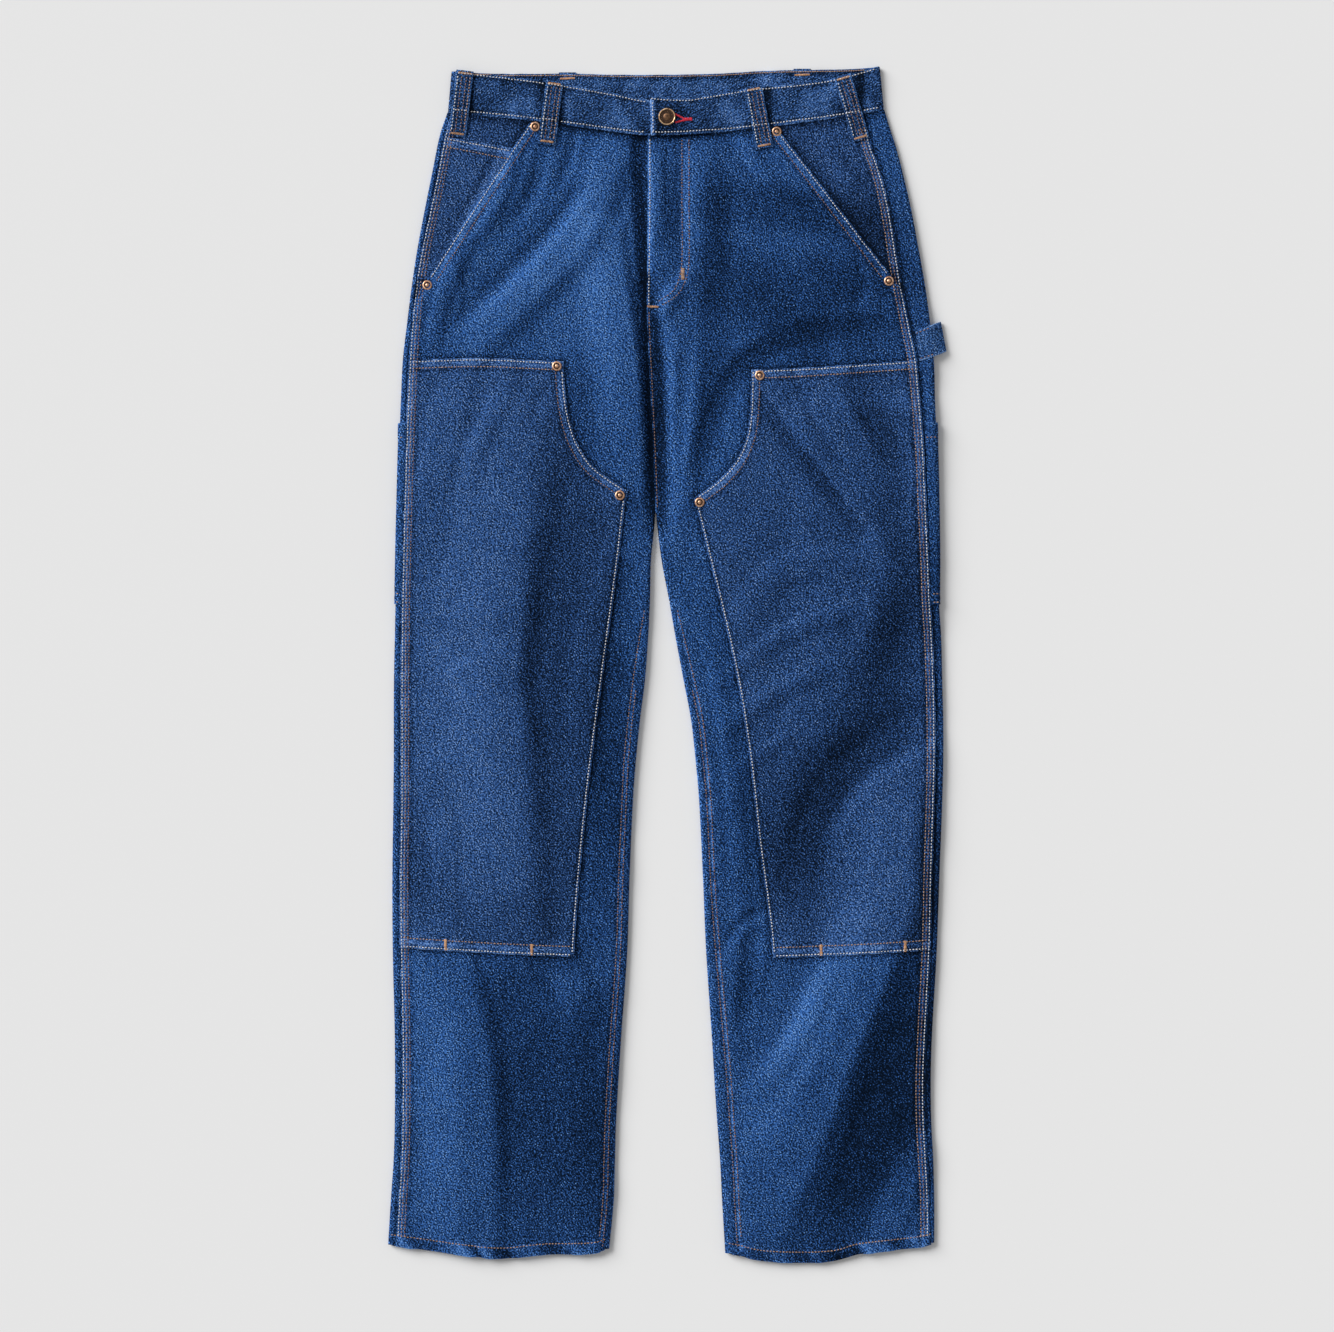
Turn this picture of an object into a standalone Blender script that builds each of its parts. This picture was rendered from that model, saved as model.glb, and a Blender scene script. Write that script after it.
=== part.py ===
"""Double-knee carpenter pants laid flat on a table, front side up.

The waist is towards +Y and the cloth rests on z = 0. Tables give places on the layout
in millimetres, across (to the right) and down (towards the hems), and put() turns them
into metres about the garment's centre. The photo's left is the wearer's right.
"""

import math
from collections import namedtuple

import bmesh
import bpy
from mathutils import Vector

# Driving dimensions in millimetres
MM = 0.001
CENTRE_ACROSS = 667.0
CENTRE_DOWN = 664.5
CLOTH = 1.2
BAND_CLOTH = 2.0
SEAM_GAP = 0.3
LAYER_GAP = 0.3
LOOSE_GAP = 0.5
STEP_UP = CLOTH + LAYER_GAP
MOUTH_STEP = CLOTH + LOOSE_GAP

# The space between the front and back layers of cloth
AIR_MEAN = 2.1
AIR_RISE = 1.7
AIR_DROP = 1.3

# Nominal downs of the lines that run across each leg
BAND_LINE, PATCH_TOP, CROTCH, PATCH_FOOT, HEM = 126.0, 362.0, 516.0, 952.0, 1250.0
LINE_DOWNS = (BAND_LINE, PATCH_TOP, CROTCH, PATCH_FOOT, HEM)

# Rounded sides, seam trims, and how the points of a row are spread
CURL_EASE = 2.7
SEAM_TRIM = 0.25
UNDER_FADE = 260.0
HEM_MATCH = 0.9
OUTER_SHARES = (0.0, 0.07, 0.22, 0.4, 0.58, 0.76, 0.92, 1.0)
INNER_SHARES = (0.35, 0.7)
SIDE_SHARES = (0.0, 0.25, 0.5, 0.75, 1.0)
END_STEPS = (4.0, 2.0, 0.0)

# Sizes of small pieces
RIVET_RADIUS = 4.75
RIVET_RINGS = ((4.2, 0.0), (RIVET_RADIUS, 0.4), (4.4, 1.0), (2.6, 1.5))
BUTTON_PLACE = (667.0, 118.5)
BUTTON_BASE = 9.2
BUTTON_RINGS = ((7.4, 0.0), (8.5, 0.7), (8.6, 2.0), (7.8, 2.9), (6.6, 2.6))
FACING_UNDER = 12.0
FLY_UNDER = 13.0
FLY_STEP_REACH = 32.0
TOOL_POCKET_REACH = 112.0
MOUTH_TURN = 6.0
COIN_POCKET_TOP = (138.0, 150.0)
COIN_POCKET_ROWS = 5
LOOP_OVER_BAND = 7.3

Edge = namedtuple("Edge", "down outer_edge outer_seam inner_edge seam_in")
Fold = namedtuple("Fold", "across down to_across to_down bow lit shade rise")
Zone = namedtuple("Zone", "left right top bottom")
Station = namedtuple("Station", "top_across top_down foot_across foot_down height")
Loop = namedtuple("Loop", "name top_across top_down foot_across foot_down")
Rivet = namedtuple("Rivet", "name across down")

# Outline of each leg: silhouette, outseam, inner silhouette, and how far in the inseam lies
RIGHT_EDGES = (
    Edge(112, 448.0, 452.0, 651, 1),
    Edge(136, 440.0, 445.0, 651, 1),
    Edge(170, 433.0, 438.5, 651, 1),
    Edge(210, 425.0, 430.5, 651, 1),
    Edge(250, 417.5, 422.0, 651, 1),
    Edge(290, 411.5, 415.5, 651, 1),
    Edge(330, 406.5, 411.5, 651, 1),
    Edge(361, 403.0, 409.5, 651, 1),
    Edge(410, 400.8, 407.5, 653, 1),
    Edge(450, 399.5, 406.0, 654, 1),
    Edge(516, 397.8, 404.0, 655, 0.85),
    Edge(560, 396.8, 403.0, 651, 1.4),
    Edge(600, 396.0, 402.0, 650, 2.2),
    Edge(640, 395.0, 401.5, 648, 7),
    Edge(680, 394.2, 401.0, 645, 10),
    Edge(720, 394.0, 401.0, 640, 10),
    Edge(760, 394.0, 401.0, 636, 10),
    Edge(800, 393.6, 401.0, 633, 9),
    Edge(880, 392.6, 400.0, 629.5, 9),
    Edge(950, 393.0, 400.5, 627.3, 9),
    Edge(1040, 395.0, 402.0, 621, 9),
    Edge(1120, 395.0, 402.0, 616.2, 9),
    Edge(1160, 393.8, 401.0, 615, 9),
    Edge(1200, 391.0, 398.5, 613.8, 9),
    Edge(1250, 388.0, 396.0, 609, 9),
)
LEFT_EDGES = (
    Edge(110, 884.0, 862.0, 651, 1),
    Edge(136, 892.0, 868.0, 651, 1),
    Edge(148, 896.0, 871.0, 651, 1),
    Edge(173, 902.5, 880.0, 651, 1),
    Edge(210, 911.0, 889.0, 651, 1),
    Edge(250, 918.5, 895.5, 651, 1),
    Edge(290, 925.5, 902.0, 651, 1),
    Edge(330, 930.5, 910.0, 651, 1),
    Edge(361, 933.5, 916.0, 651, 1),
    Edge(410, 935.0, 920.5, 653, 1),
    Edge(450, 936.5, 923.5, 654, 1),
    Edge(516, 938.0, 926.5, 656.4, 0.85),
    Edge(560, 938.5, 928.5, 661.5, 1.4),
    Edge(600, 938.5, 930.0, 669, 4),
    Edge(640, 941.0, 932.5, 676, 7),
    Edge(680, 942.0, 934.0, 683.5, 9),
    Edge(720, 943.0, 935.0, 691, 10),
    Edge(760, 943.0, 935.0, 695.5, 10),
    Edge(800, 942.0, 934.0, 699, 10),
    Edge(880, 939.0, 931.5, 703, 10),
    Edge(950, 936.5, 930.0, 706, 12),
    Edge(1040, 931.5, 925.5, 712, 14),
    Edge(1080, 930.5, 924.0, 714.3, 15),
    Edge(1120, 931.0, 924.5, 717, 15),
    Edge(1160, 933.0, 926.5, 720, 15),
    Edge(1200, 934.0, 928.5, 722, 15),
    Edge(1250, 934.0, 929.0, 725, 15),
)

# Lines across the garment, as (across, down)
BAND_SEAM = (
    (440, 112.5), (455, 114), (470, 115), (529, 121), (561, 125), (640, 136),
    (648, 136.4), (691, 135.4), (753, 129.6), (783, 126), (842, 118), (884, 110.5), (900, 108),
)
BACK_BAND_SEAM = (
    (440, 113.1), (500, 115.6), (650, 116.4), (720, 115.2), (800, 113.4), (884, 110.8), (900, 109),
)
RIGHT_LINES = (
    BAND_SEAM,
    ((395, 361.6), (479.5, 359), (562, 362.2), (660, 363)),
    ((380, 516), (700, 516)),
    ((385, 946), (400.5, 947), (487, 952.3), (573.8, 956), (640, 957)),
    (
        (384, 1243), (398, 1245.5), (424.6, 1249), (487, 1257), (508.6, 1257.5),
        (540.7, 1254), (592.5, 1252.5), (609.5, 1248), (620, 1246),
    ),
)
LEFT_LINES = (
    BAND_SEAM,
    ((640, 365), (752, 370.4), (917.6, 361.2), (940, 360)),
    ((640, 516), (950, 516)),
    ((690, 957), (772.7, 957), (819.6, 955.5), (905, 951), (945, 948)),
    (
        (718, 1251), (740, 1255), (762, 1260), (803, 1262), (836, 1260),
        (856, 1254), (905, 1248), (929.8, 1244), (940, 1238),
    ),
)

# The inner edge of each knee patch, as (down, across); the sharp place is its rivet corner
RIGHT_PATCH_EDGE = (
    (126, 575), (240, 570), (362, 563.5), (399.5, 566.2), (424.4, 571), (444.3, 578), (467.5, 594),
    (492, 628),
)
RIGHT_PATCH_SIDE = ((492, 628), (501, 625.4), (558.7, 618.8), (790, 588.5), (956, 574), (1260, 562))
LEFT_PATCH_EDGE = (
    (126, 735), (240, 742), (370, 751.5), (414.3, 750), (438.8, 746), (461, 736), (481.6, 717.6),
    (499, 693.5),
)
LEFT_PATCH_SIDE = (
    (499, 693.5), (509, 697), (559, 709.4), (608, 721.6), (683, 738), (761, 750), (838, 758.4),
    (956, 772.7), (1260, 785),
)

# The edge where the fronts meet, as (down, across)
FRONT_MIDDLE = (
    (126, 648), (200, 648.2), (260, 647.6), (300, 647), (330, 647.6), (382, 650), (443, 653), (516, 655.7),
)
BACK_MIDDLE = ((100, 651), (330, 651), (443, 653), (516, 655.7))
FLY_FOOT = 300.0

# Pocket mouths: where the slanted edge leaves the band and where its rivet holds it
RIGHT_MOUTH = ((531.6, 121.3), (426.5, 283.0))
LEFT_MOUTH = ((775.0, 127.0), (892.0, 278.5))

# Nominal downs of the rows of cloth points; the mouth's foot and the patch corner have their own
RIGHT_MOUTH_ROW, LEFT_MOUTH_ROW = 287.9, 283.6
RIGHT_ROWS = (
    BAND_LINE, 142, 165, 190, 215, 240, 265, RIGHT_MOUTH_ROW, 294.5, 315, 338,
    PATCH_TOP, 380, 400, 424, 442, 458, 472, 483, 491.9, 501,
    CROTCH, 528, 545, 570, 605, 645, 690, 735, 780, 830, 880, 920,
    PATCH_FOOT, 985, 1030, 1075, 1120, 1165, 1205, 1232, HEM,
)
LEFT_ROWS = (
    BAND_LINE, 142, 165, 190, 215, 240, 262, LEFT_MOUTH_ROW, 290.5, 312, 338,
    PATCH_TOP, 380, 402, 424, 442, 458, 472, 486, 498.4, 507,
    CROTCH, 528, 545, 570, 605, 645, 690, 735, 780, 830, 880, 920,
    PATCH_FOOT, 985, 1030, 1075, 1120, 1165, 1205, 1232, HEM,
)
TOOL_POCKET_TOP, TOOL_POCKET_FOOT = 424, 605

# The main folds: a crest or trough line, its sideways bow, its reach on each side, its rise
FOLDS = (
    Fold(611, 180, 500, 345, 0, 55, 40, 1.6),
    Fold(557, 225, 452, 312, 0, 22, 25, -0.8),
    Fold(620, 190, 630, 500, 4, 40, 28, 1.2),
    Fold(652, 300, 657, 530, 0, 22, 26, -1.2),
    Fold(694, 150, 690, 480, -3, 22, 35, 1.4),
    Fold(735, 200, 742, 350, 0, 40, 45, -0.9),
    Fold(795, 225, 772, 335, 0, 40, 40, 0.8),
    Fold(561, 440, 507, 600, 6, 50, 45, 1.2),
    Fold(507, 590, 514, 800, 5, 55, 40, 1.4),
    Fold(514, 790, 536, 940, 0, 58, 40, 1.2),
    Fold(560, 600, 556, 760, 0, 30, 30, -0.9),
    Fold(449, 962, 490, 1240, 6, 45, 40, 1.6),
    Fold(552, 1010, 570, 1190, 0, 48, 36, 0.9),
    Fold(765, 388, 872, 545, 6, 30, 30, -1.2),
    Fold(755, 440, 735, 600, 0, 40, 40, 0.8),
    Fold(885, 500, 850, 690, 0, 60, 36, 1.3),
    Fold(918, 711, 811, 788, 0, 30, 34, -1.1),
    Fold(925, 780, 845, 1010, 8, 55, 40, 1.6),
    Fold(845, 1000, 785, 1225, 0, 50, 44, 1.6),
    Fold(888, 1000, 822, 1215, 0, 30, 34, -1.2),
    Fold(914, 1100, 905, 1200, 0, 24, 24, 0.7),
    Fold(735, 800, 745, 930, 0, 40, 40, 0.7),
)

# Things between the table and the back of the garment, which lift it over them
UNDER_ZONES = (
    Zone(380, 522, 415, 614),
    Zone(810, 960, 415, 614),
    Zone(848, 960, 320, 368),
    Zone(556, 580, 60, 92),
    Zone(789, 815, 60, 92),
)
ZONE_SLOPE = 26.0

# The waistband from the end under the button, round the back, to the end with the buttonhole
BAND_STATIONS = (
    Station(700.0, 102.0, 699.0, 133.8, 5.2),
    Station(672.0, 102.3, 671.0, 134.6, 5.2),
    Station(646.0, 101.2, 644.0, 135.2, 5.2),
    Station(618.0, 95.5, 611.0, 131.4, 5.2),
    Station(582.0, 88.8, 574.0, 126.2, 5.2),
    Station(539.0, 82.0, 531.0, 120.7, 5.3),
    Station(505.0, 77.6, 499.0, 117.4, 5.2),
    Station(473.0, 74.0, 469.0, 114.4, 5.0),
    Station(459.0, 72.9, 455.5, 113.4, 4.8),
    Station(454.3, 72.6, 450.6, 113.0, 4.3),
    Station(452.6, 72.4, 448.9, 112.8, 3.1),
    Station(454.5, 72.6, 450.8, 112.9, 1.6),
    Station(460.0, 73.0, 457.0, 113.2, 1.1),
    Station(495.0, 74.2, 493.0, 114.2, 1.0),
    Station(540.0, 74.4, 540.0, 114.6, 1.0),
    Station(556.0, 74.4, 556.0, 114.8, 1.0),
    Station(580.0, 74.6, 580.0, 115.0, 1.0),
    Station(640.0, 75.4, 640.0, 115.4, 1.0),
    Station(715.0, 74.2, 715.0, 114.2, 1.0),
    Station(765.0, 71.4, 766.0, 113.0, 1.0),
    Station(789.0, 70.9, 790.0, 112.6, 1.0),
    Station(815.0, 70.6, 817.0, 111.8, 1.0),
    Station(852.0, 69.6, 855.0, 110.8, 1.0),
    Station(871.0, 68.2, 875.0, 110.2, 1.1),
    Station(876.8, 67.7, 881.0, 110.0, 1.7),
    Station(878.6, 67.5, 882.8, 109.9, 3.1),
    Station(876.8, 67.9, 881.0, 110.2, 4.3),
    Station(872.0, 69.2, 875.5, 111.2, 4.8),
    Station(852.0, 75.0, 852.0, 115.6, 5.1),
    Station(832.0, 80.0, 831.0, 118.8, 5.2),
    Station(792.0, 85.8, 789.0, 124.4, 5.2),
    Station(752.0, 89.6, 750.0, 129.2, 5.2),
    Station(722.0, 94.4, 720.0, 132.4, 5.6),
    Station(704.0, 97.8, 703.0, 133.7, 7.5),
    Station(688.0, 100.2, 687.0, 134.9, 7.9),
    Station(668.0, 99.8, 667.5, 135.6, 7.9),
    Station(650.5, 98.4, 651.5, 135.8, 7.9),
)

# Belt loops on the front, as the centre line from the top of the band
LOOP_WIDTH = 17.0
FRONT_LOOPS = (
    Loop("belt_loop_side_right", 465.5, 72.2, 457.5, 137.5),
    Loop("belt_loop_front_right", 555.0, 82.5, 547.0, 145.5),
    Loop("belt_loop_front_left", 753.0, 88.0, 764.5, 149.5),
    Loop("belt_loop_side_left", 842.0, 77.0, 861.0, 141.0),
)
BACK_LOOPS = (
    Loop("belt_loop_back_right", 567.5, 72.6, 567.5, 111.0),
    Loop("belt_loop_back_left", 802.0, 69.0, 802.0, 109.0),
)

# The hammer loop, from the outseam over the side, folded back under the garment
HAMMER_STATIONS = (
    Station(914.8, 332.5, 919.0, 361.5, 7.2),
    Station(929.0, 326.8, 934.0, 356.6, 7.2),
    Station(935.0, 324.2, 940.5, 353.8, 5.6),
    Station(939.0, 322.7, 944.6, 352.2, 4.2),
    Station(940.2, 322.3, 945.8, 351.8, 2.8),
    Station(938.6, 322.9, 944.2, 352.4, 1.5),
    Station(934.0, 325.0, 939.4, 354.5, 0.6),
    Station(903.0, 329.0, 906.0, 358.0, 0.6),
    Station(884.0, 331.0, 886.0, 360.0, 0.6),
)

# Rivets, by their places
RIVETS = (
    Rivet("rivet_mouth_top_right", 534.6, 127.8),
    Rivet("rivet_mouth_foot_right", 427.9, 286.6),
    Rivet("rivet_patch_top_right", 557.0, 366.9),
    Rivet("rivet_patch_corner_right", 620.2, 495.4),
    Rivet("rivet_mouth_top_left", 776.6, 132.6),
    Rivet("rivet_mouth_foot_left", 888.6, 282.4),
    Rivet("rivet_patch_top_left", 759.4, 376.0),
    Rivet("rivet_patch_corner_left", 700.4, 502.2),
)

Look = namedtuple("Look", "colour roughness metallic")
DENIM = Look((0.045, 0.115, 0.30), 0.85, 0.0)
DENIM_DARK = Look((0.035, 0.09, 0.24), 0.85, 0.0)
COPPER = Look((0.62, 0.30, 0.14), 0.35, 1.0)
BRASS = Look((0.40, 0.25, 0.12), 0.4, 1.0)


def put(across, down, height):
    """A layout place and a height in millimetres, as a point in metres."""
    return Vector(((across - CENTRE_ACROSS) * MM, (CENTRE_DOWN - down) * MM, height * MM))


def smooth_read(points, at):
    """Reads a table of (place, value) pairs along a smooth curve through them."""
    if at <= points[0][0]:
        return float(points[0][1])
    if at >= points[-1][0]:
        return float(points[-1][1])
    index = max(i for i in range(len(points) - 1) if points[i][0] <= at)
    (x0, y0), (x1, y1) = points[index], points[index + 1]
    step = x1 - x0
    slope = (y1 - y0) / step
    before = slope
    after = slope
    if index > 0:
        before = (y1 - points[index - 1][1]) / (x1 - points[index - 1][0])
    if index + 2 < len(points):
        after = (points[index + 2][1] - y0) / (points[index + 2][0] - x0)
    t = (at - x0) / step
    ease = t * t * (3 - 2 * t)
    return (
        y0 + (y1 - y0) * ease
        + step * before * (t - 2 * t * t + t ** 3)
        + step * after * (t ** 3 - t * t)
    )


def ramp(low, high, at):
    """0 below low, 1 above high, smooth between."""
    t = min(1.0, max(0.0, (at - low) / (high - low)))
    return t * t * (3 - 2 * t)


def fold_rise(across, down):
    """The sum of the fold table's rises at a place."""
    total = 0.0
    for fold in FOLDS:
        run_x = fold.to_across - fold.across
        run_y = fold.to_down - fold.down
        length = math.hypot(run_x, run_y)
        t = ((across - fold.across) * run_x + (down - fold.down) * run_y) / length ** 2
        inside = min(1.0, max(0.0, t))
        side = ((down - fold.down) * run_x - (across - fold.across) * run_y) / length
        side -= fold.bow * 4 * inside * (1 - inside)
        reach = fold.lit if side > 0 else fold.shade
        away = math.hypot(side / reach, (t - inside) * length / (0.5 * (fold.lit + fold.shade)))
        if away < 1:
            bell = 0.5 + 0.5 * math.cos(math.pi * away)
            total += fold.rise * bell * (0.45 + 0.55 * math.sin(math.pi * inside))
    return total


def zone_lift(across, down):
    """How much the back is lifted by a pocket or loop that lies under it."""
    most = 0.0
    for zone in UNDER_ZONES:
        beside = max(zone.left - across, across - zone.right, 0.0)
        beyond = max(zone.top - down, down - zone.bottom, 0.0)
        most = max(most, 1 - ramp(0, ZONE_SLOPE, math.hypot(beside, beyond)))
    return STEP_UP * most


def back_height(across, down):
    """Mid-cloth height of the layer on the table."""
    return CLOTH / 2 + zone_lift(across, down)


def top_height(across, down):
    """Mid-cloth height of the upper layer before any step over a seam."""
    rise = fold_rise(across, down)
    if rise > 0:
        air = AIR_MEAN + AIR_RISE * math.tanh(rise / AIR_RISE)
    else:
        air = AIR_MEAN + AIR_DROP * math.tanh(rise / AIR_DROP)
    return back_height(across, down) + CLOTH + air


class Leg:
    """One half of the garment; outward is -1 on the wearer's right and 1 on the left."""

    def __init__(self, side, outward, edges, lines, patch_edge, patch_side, mouth, rows):
        self.side = side
        self.outward = outward
        self.lines = lines
        self.patch_edge = patch_edge
        self.patch_side = patch_side
        self.mouth = mouth
        self.rows = rows
        self.columns = {
            name: tuple((edge.down, getattr(edge, name)) for edge in edges)
            for name in ("outer_edge", "outer_seam", "inner_edge", "seam_in")
        }

    def read(self, name, down):
        return smooth_read(self.columns[name], down)

    def line_down(self, across, nominal):
        """The down of a row's line at a place across the top layer."""
        for index in range(len(LINE_DOWNS) - 1):
            if nominal <= LINE_DOWNS[index + 1] or index == len(LINE_DOWNS) - 2:
                start = LINE_DOWNS[index]
                share = (nominal - start) / (LINE_DOWNS[index + 1] - start)
                upper = smooth_read(self.lines[index], across)
                lower = smooth_read(self.lines[index + 1], across)
                return upper + (lower - upper) * share
        return nominal

    def meet(self, nominal, across_at):
        """Where a row's line crosses an edge given as across_at(down)."""
        down = nominal
        for _ in range(6):
            across = across_at(down)
            down = self.line_down(across, nominal)
        return across, down

    def mouth_across(self, down):
        (x0, y0), (x1, y1) = self.mouth
        return x0 + (x1 - x0) * (down - y0) / (y1 - y0)

    def patch_across(self, down):
        corner = self.patch_edge[-1][0]
        table = self.patch_edge if down <= corner + 0.3 else self.patch_side
        return smooth_read(table, down)

    def mouth_step(self, across, down):
        """The front is raised where the pocket facing lies under it."""
        (x0, y0), (x1, y1) = self.mouth
        length = math.hypot(x1 - x0, y1 - y0)
        inward = self.outward * ((across - x0) * (y0 - y1) + (down - y0) * (x1 - x0)) / length
        fade_in = 1 - ramp(FACING_UNDER + 4, FACING_UNDER + 34, inward)
        fade_down = 1 - ramp(y1 + 12, y1 + 44, down)
        from_seam = ramp(1.0, 9.0, abs(across - self.read("outer_seam", down)))
        return MOUTH_STEP * fade_in * fade_down * from_seam

    def front_height(self, across, down):
        """Mid-cloth height of the front panel."""
        height = top_height(across, down) + self.mouth_step(across, down)
        if self.outward > 0:
            from_edge = across - smooth_read(FRONT_MIDDLE, down)
            fade = 1 - ramp(FLY_STEP_REACH, FLY_STEP_REACH + 30, from_edge)
            height += STEP_UP * fade * (1 - ramp(FLY_FOOT + 8, FLY_FOOT + 34, down))
        return height

    def curl(self, edge, seam, outward, down):
        """The rounded side of a leg: its tangent place, its radii and its middle height."""
        extreme = edge - outward * CLOTH / 2
        top = top_height(extreme - outward * CURL_EASE, down)
        bottom = back_height(extreme - outward * CURL_EASE, down)
        rise = (top - bottom) / 2
        room = abs(seam - edge) - CLOTH / 2 - CURL_EASE / 3
        reach = min(CURL_EASE / 3 + rise, room) if room > rise / 2 else CURL_EASE / 3 + rise
        return extreme - outward * reach, reach, rise, (top + bottom) / 2

    def side_points(self, side, down, angles):
        """Points round the outer or inner side, from 0 on top to pi underneath."""
        if side == "outer":
            edge, seam, outward = self.read("outer_edge", down), self.read("outer_seam", down), self.outward
        else:
            edge, outward = self.read("inner_edge", down), -self.outward
            seam = edge - outward * 20
        tangent, reach, rise, middle = self.curl(edge, seam, outward, down)
        return [
            (tangent + outward * reach * math.sin(angle), down, middle + rise * math.cos(angle))
            for angle in angles
        ]

    def inseam_angle(self, down, trim):
        """The inseam's angle on the rounded inner side, or None where it lies on top."""
        edge = self.read("inner_edge", down)
        inward = -self.outward
        reach = self.curl(edge, edge - inward * 20, inward, down)[1]
        place = self.read("seam_in", down) + trim - CLOTH / 2
        return math.asin(min(1.0, 1 - place / reach)) if place < reach else None


def fly_under(down):
    """How far the right front runs on under the fly."""
    return FLY_UNDER * (1 - ramp(FLY_FOOT - 22, FLY_FOOT - 2, down))


def inner_points(leg, nominal, trim):
    """The last points of a front's row: flat to the middle seam, or round to the inseam."""
    if nominal < CROTCH:
        across, down = leg.meet(nominal, lambda at: smooth_read(FRONT_MIDDLE, at))
        across += trim * leg.outward
        if leg.outward < 0:
            across += fly_under(down)
        flat = [across + leg.outward * step for step in END_STEPS]
        return [(x, leg.line_down(x, nominal), None) for x in flat]
    down = leg.meet(nominal, lambda at: leg.read("inner_edge", at))[1]
    angle = leg.inseam_angle(down, trim)
    if angle is None:
        across = leg.read("inner_edge", down) + leg.outward * (leg.read("seam_in", down) + trim)
        flat = [across + leg.outward * step for step in END_STEPS]
        return [(x, leg.line_down(x, nominal), None) for x in flat]
    return leg.side_points("inner", down, [angle * share for share in (0.0, 0.5, 1.0)])


def front_grid(leg):
    """Mid-cloth points of a front panel, a row for each line across it."""
    grid = []
    mouth_foot = leg.mouth[1][1]
    for nominal in leg.rows:
        outer, down = leg.meet(nominal, leg.mouth_across)
        if down > mouth_foot + 0.5:
            outer, down = leg.meet(nominal, lambda at: leg.read("outer_seam", at))
            outer -= leg.outward * SEAM_GAP / 2
        patch = leg.meet(nominal, leg.patch_across)[0]
        end = inner_points(leg, nominal, SEAM_TRIM)
        places = [outer + (patch - outer) * share for share in OUTER_SHARES]
        places += [patch + (end[0][0] - patch) * share for share in INNER_SHARES]
        row = [(x, leg.line_down(x, nominal), None) for x in places] + end
        grid.append([(x, y, leg.front_height(x, y) if z is None else z) for x, y, z in row])
    return grid


def back_grid(leg):
    """Mid-cloth points of a back panel, from the outseam round the side and under."""
    grid = []
    for nominal in leg.rows:
        seam, down = leg.meet(nominal, lambda at: leg.read("outer_seam", at))
        seam += leg.outward * SEAM_GAP / 2
        edge_down = leg.meet(nominal, lambda at: leg.read("outer_edge", at))[1]
        side = leg.side_points("outer", edge_down, [math.pi * share for share in SIDE_SHARES])
        middle = (seam + side[0][0]) / 2
        row = [(x, leg.line_down(x, nominal), None) for x in (seam, middle)]
        row = [(x, y, top_height(x, y)) for x, y, _ in row] + side
        inner_down, end = back_inner_points(leg, nominal)
        start = side[-1][0]
        pocket = start - leg.outward * TOOL_POCKET_REACH
        places = [start + (pocket - start) * share for share in (0.25, 0.6, 1.0)]
        places += [pocket + (end[0][0] - pocket) * share for share in (0.35, 0.7)]
        fade = 1 - ramp(BAND_LINE, UNDER_FADE, nominal)
        for x in places:
            share = (x - start) / (end[0][0] - start)
            y = edge_down + (inner_down - edge_down) * share
            y += fade * (smooth_read(BACK_BAND_SEAM, x) + nominal - BAND_LINE - y)
            y += HEM_MATCH * ramp(PATCH_FOOT, HEM, nominal) * (leg.line_down(x, nominal) - y)
            row.append((x, y, back_height(x, y)))
        grid.append(row + end)
    return grid


def back_inner_points(leg, nominal):
    """The last points of a back's row: flat to the middle seam, or up to the inseam."""
    if nominal < CROTCH:
        fade = 1 - ramp(BAND_LINE, UNDER_FADE, nominal)
        across, down = leg.meet(nominal, lambda at: smooth_read(BACK_MIDDLE, at))
        down += fade * (smooth_read(BACK_BAND_SEAM, across) + nominal - BAND_LINE - down)
        across += SEAM_TRIM * leg.outward
        steps = (7.0, 5.0, 3.5, 1.7, 0.0)
        flat = [across + leg.outward * step for step in steps]
        return down, [(x, down, back_height(x, down)) for x in flat]
    down = leg.meet(nominal, lambda at: leg.read("inner_edge", at))[1]
    angle = leg.inseam_angle(down, -SEAM_TRIM)
    if angle is not None:
        turn = math.pi - angle
        angles = [math.pi - turn * share for share in (0.0, 0.25, 0.5, 0.75, 1.0)]
        return down, leg.side_points("inner", down, angles)
    side = leg.side_points("inner", down, [math.pi * share for share in (1.0, 0.66, 0.33, 0.0)])
    across = leg.read("inner_edge", down) + leg.outward * (leg.read("seam_in", down) - SEAM_TRIM)
    y = leg.line_down(across, nominal)
    return down, side + [(across, y, top_height(across, y))]


def grid_normals(points, outward):
    """The outward direction at each point of a grid of mid-cloth points."""
    last_row = len(points) - 1
    last_column = len(points[0]) - 1
    normals = []
    for i, row in enumerate(points):
        line = []
        for j in range(len(row)):
            along = row[min(j + 1, last_column)] - row[max(j - 1, 0)]
            down = points[min(i + 1, last_row)][j] - points[max(i - 1, 0)][j]
            line.append(down.cross(along).normalized() * outward)
        normals.append(line)
    return normals


def moved_out(points, outward, distance):
    """The same grid, moved out along its normals."""
    normals = grid_normals(points, outward)
    return [
        [point + normal * distance * MM for point, normal in zip(row, line)]
        for row, line in zip(points, normals)
    ]


def to_metres(grid):
    return [[put(*place) for place in row] for row in grid]


def make_material(name, look):
    material = bpy.data.materials.new(name)
    material.use_nodes = True
    shader = material.node_tree.nodes["Principled BSDF"]
    shader.inputs["Base Color"].default_value = (*look.colour, 1.0)
    shader.inputs["Roughness"].default_value = look.roughness
    shader.inputs["Metallic"].default_value = look.metallic
    material.diffuse_color = (*look.colour, 1.0)
    return material


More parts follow.
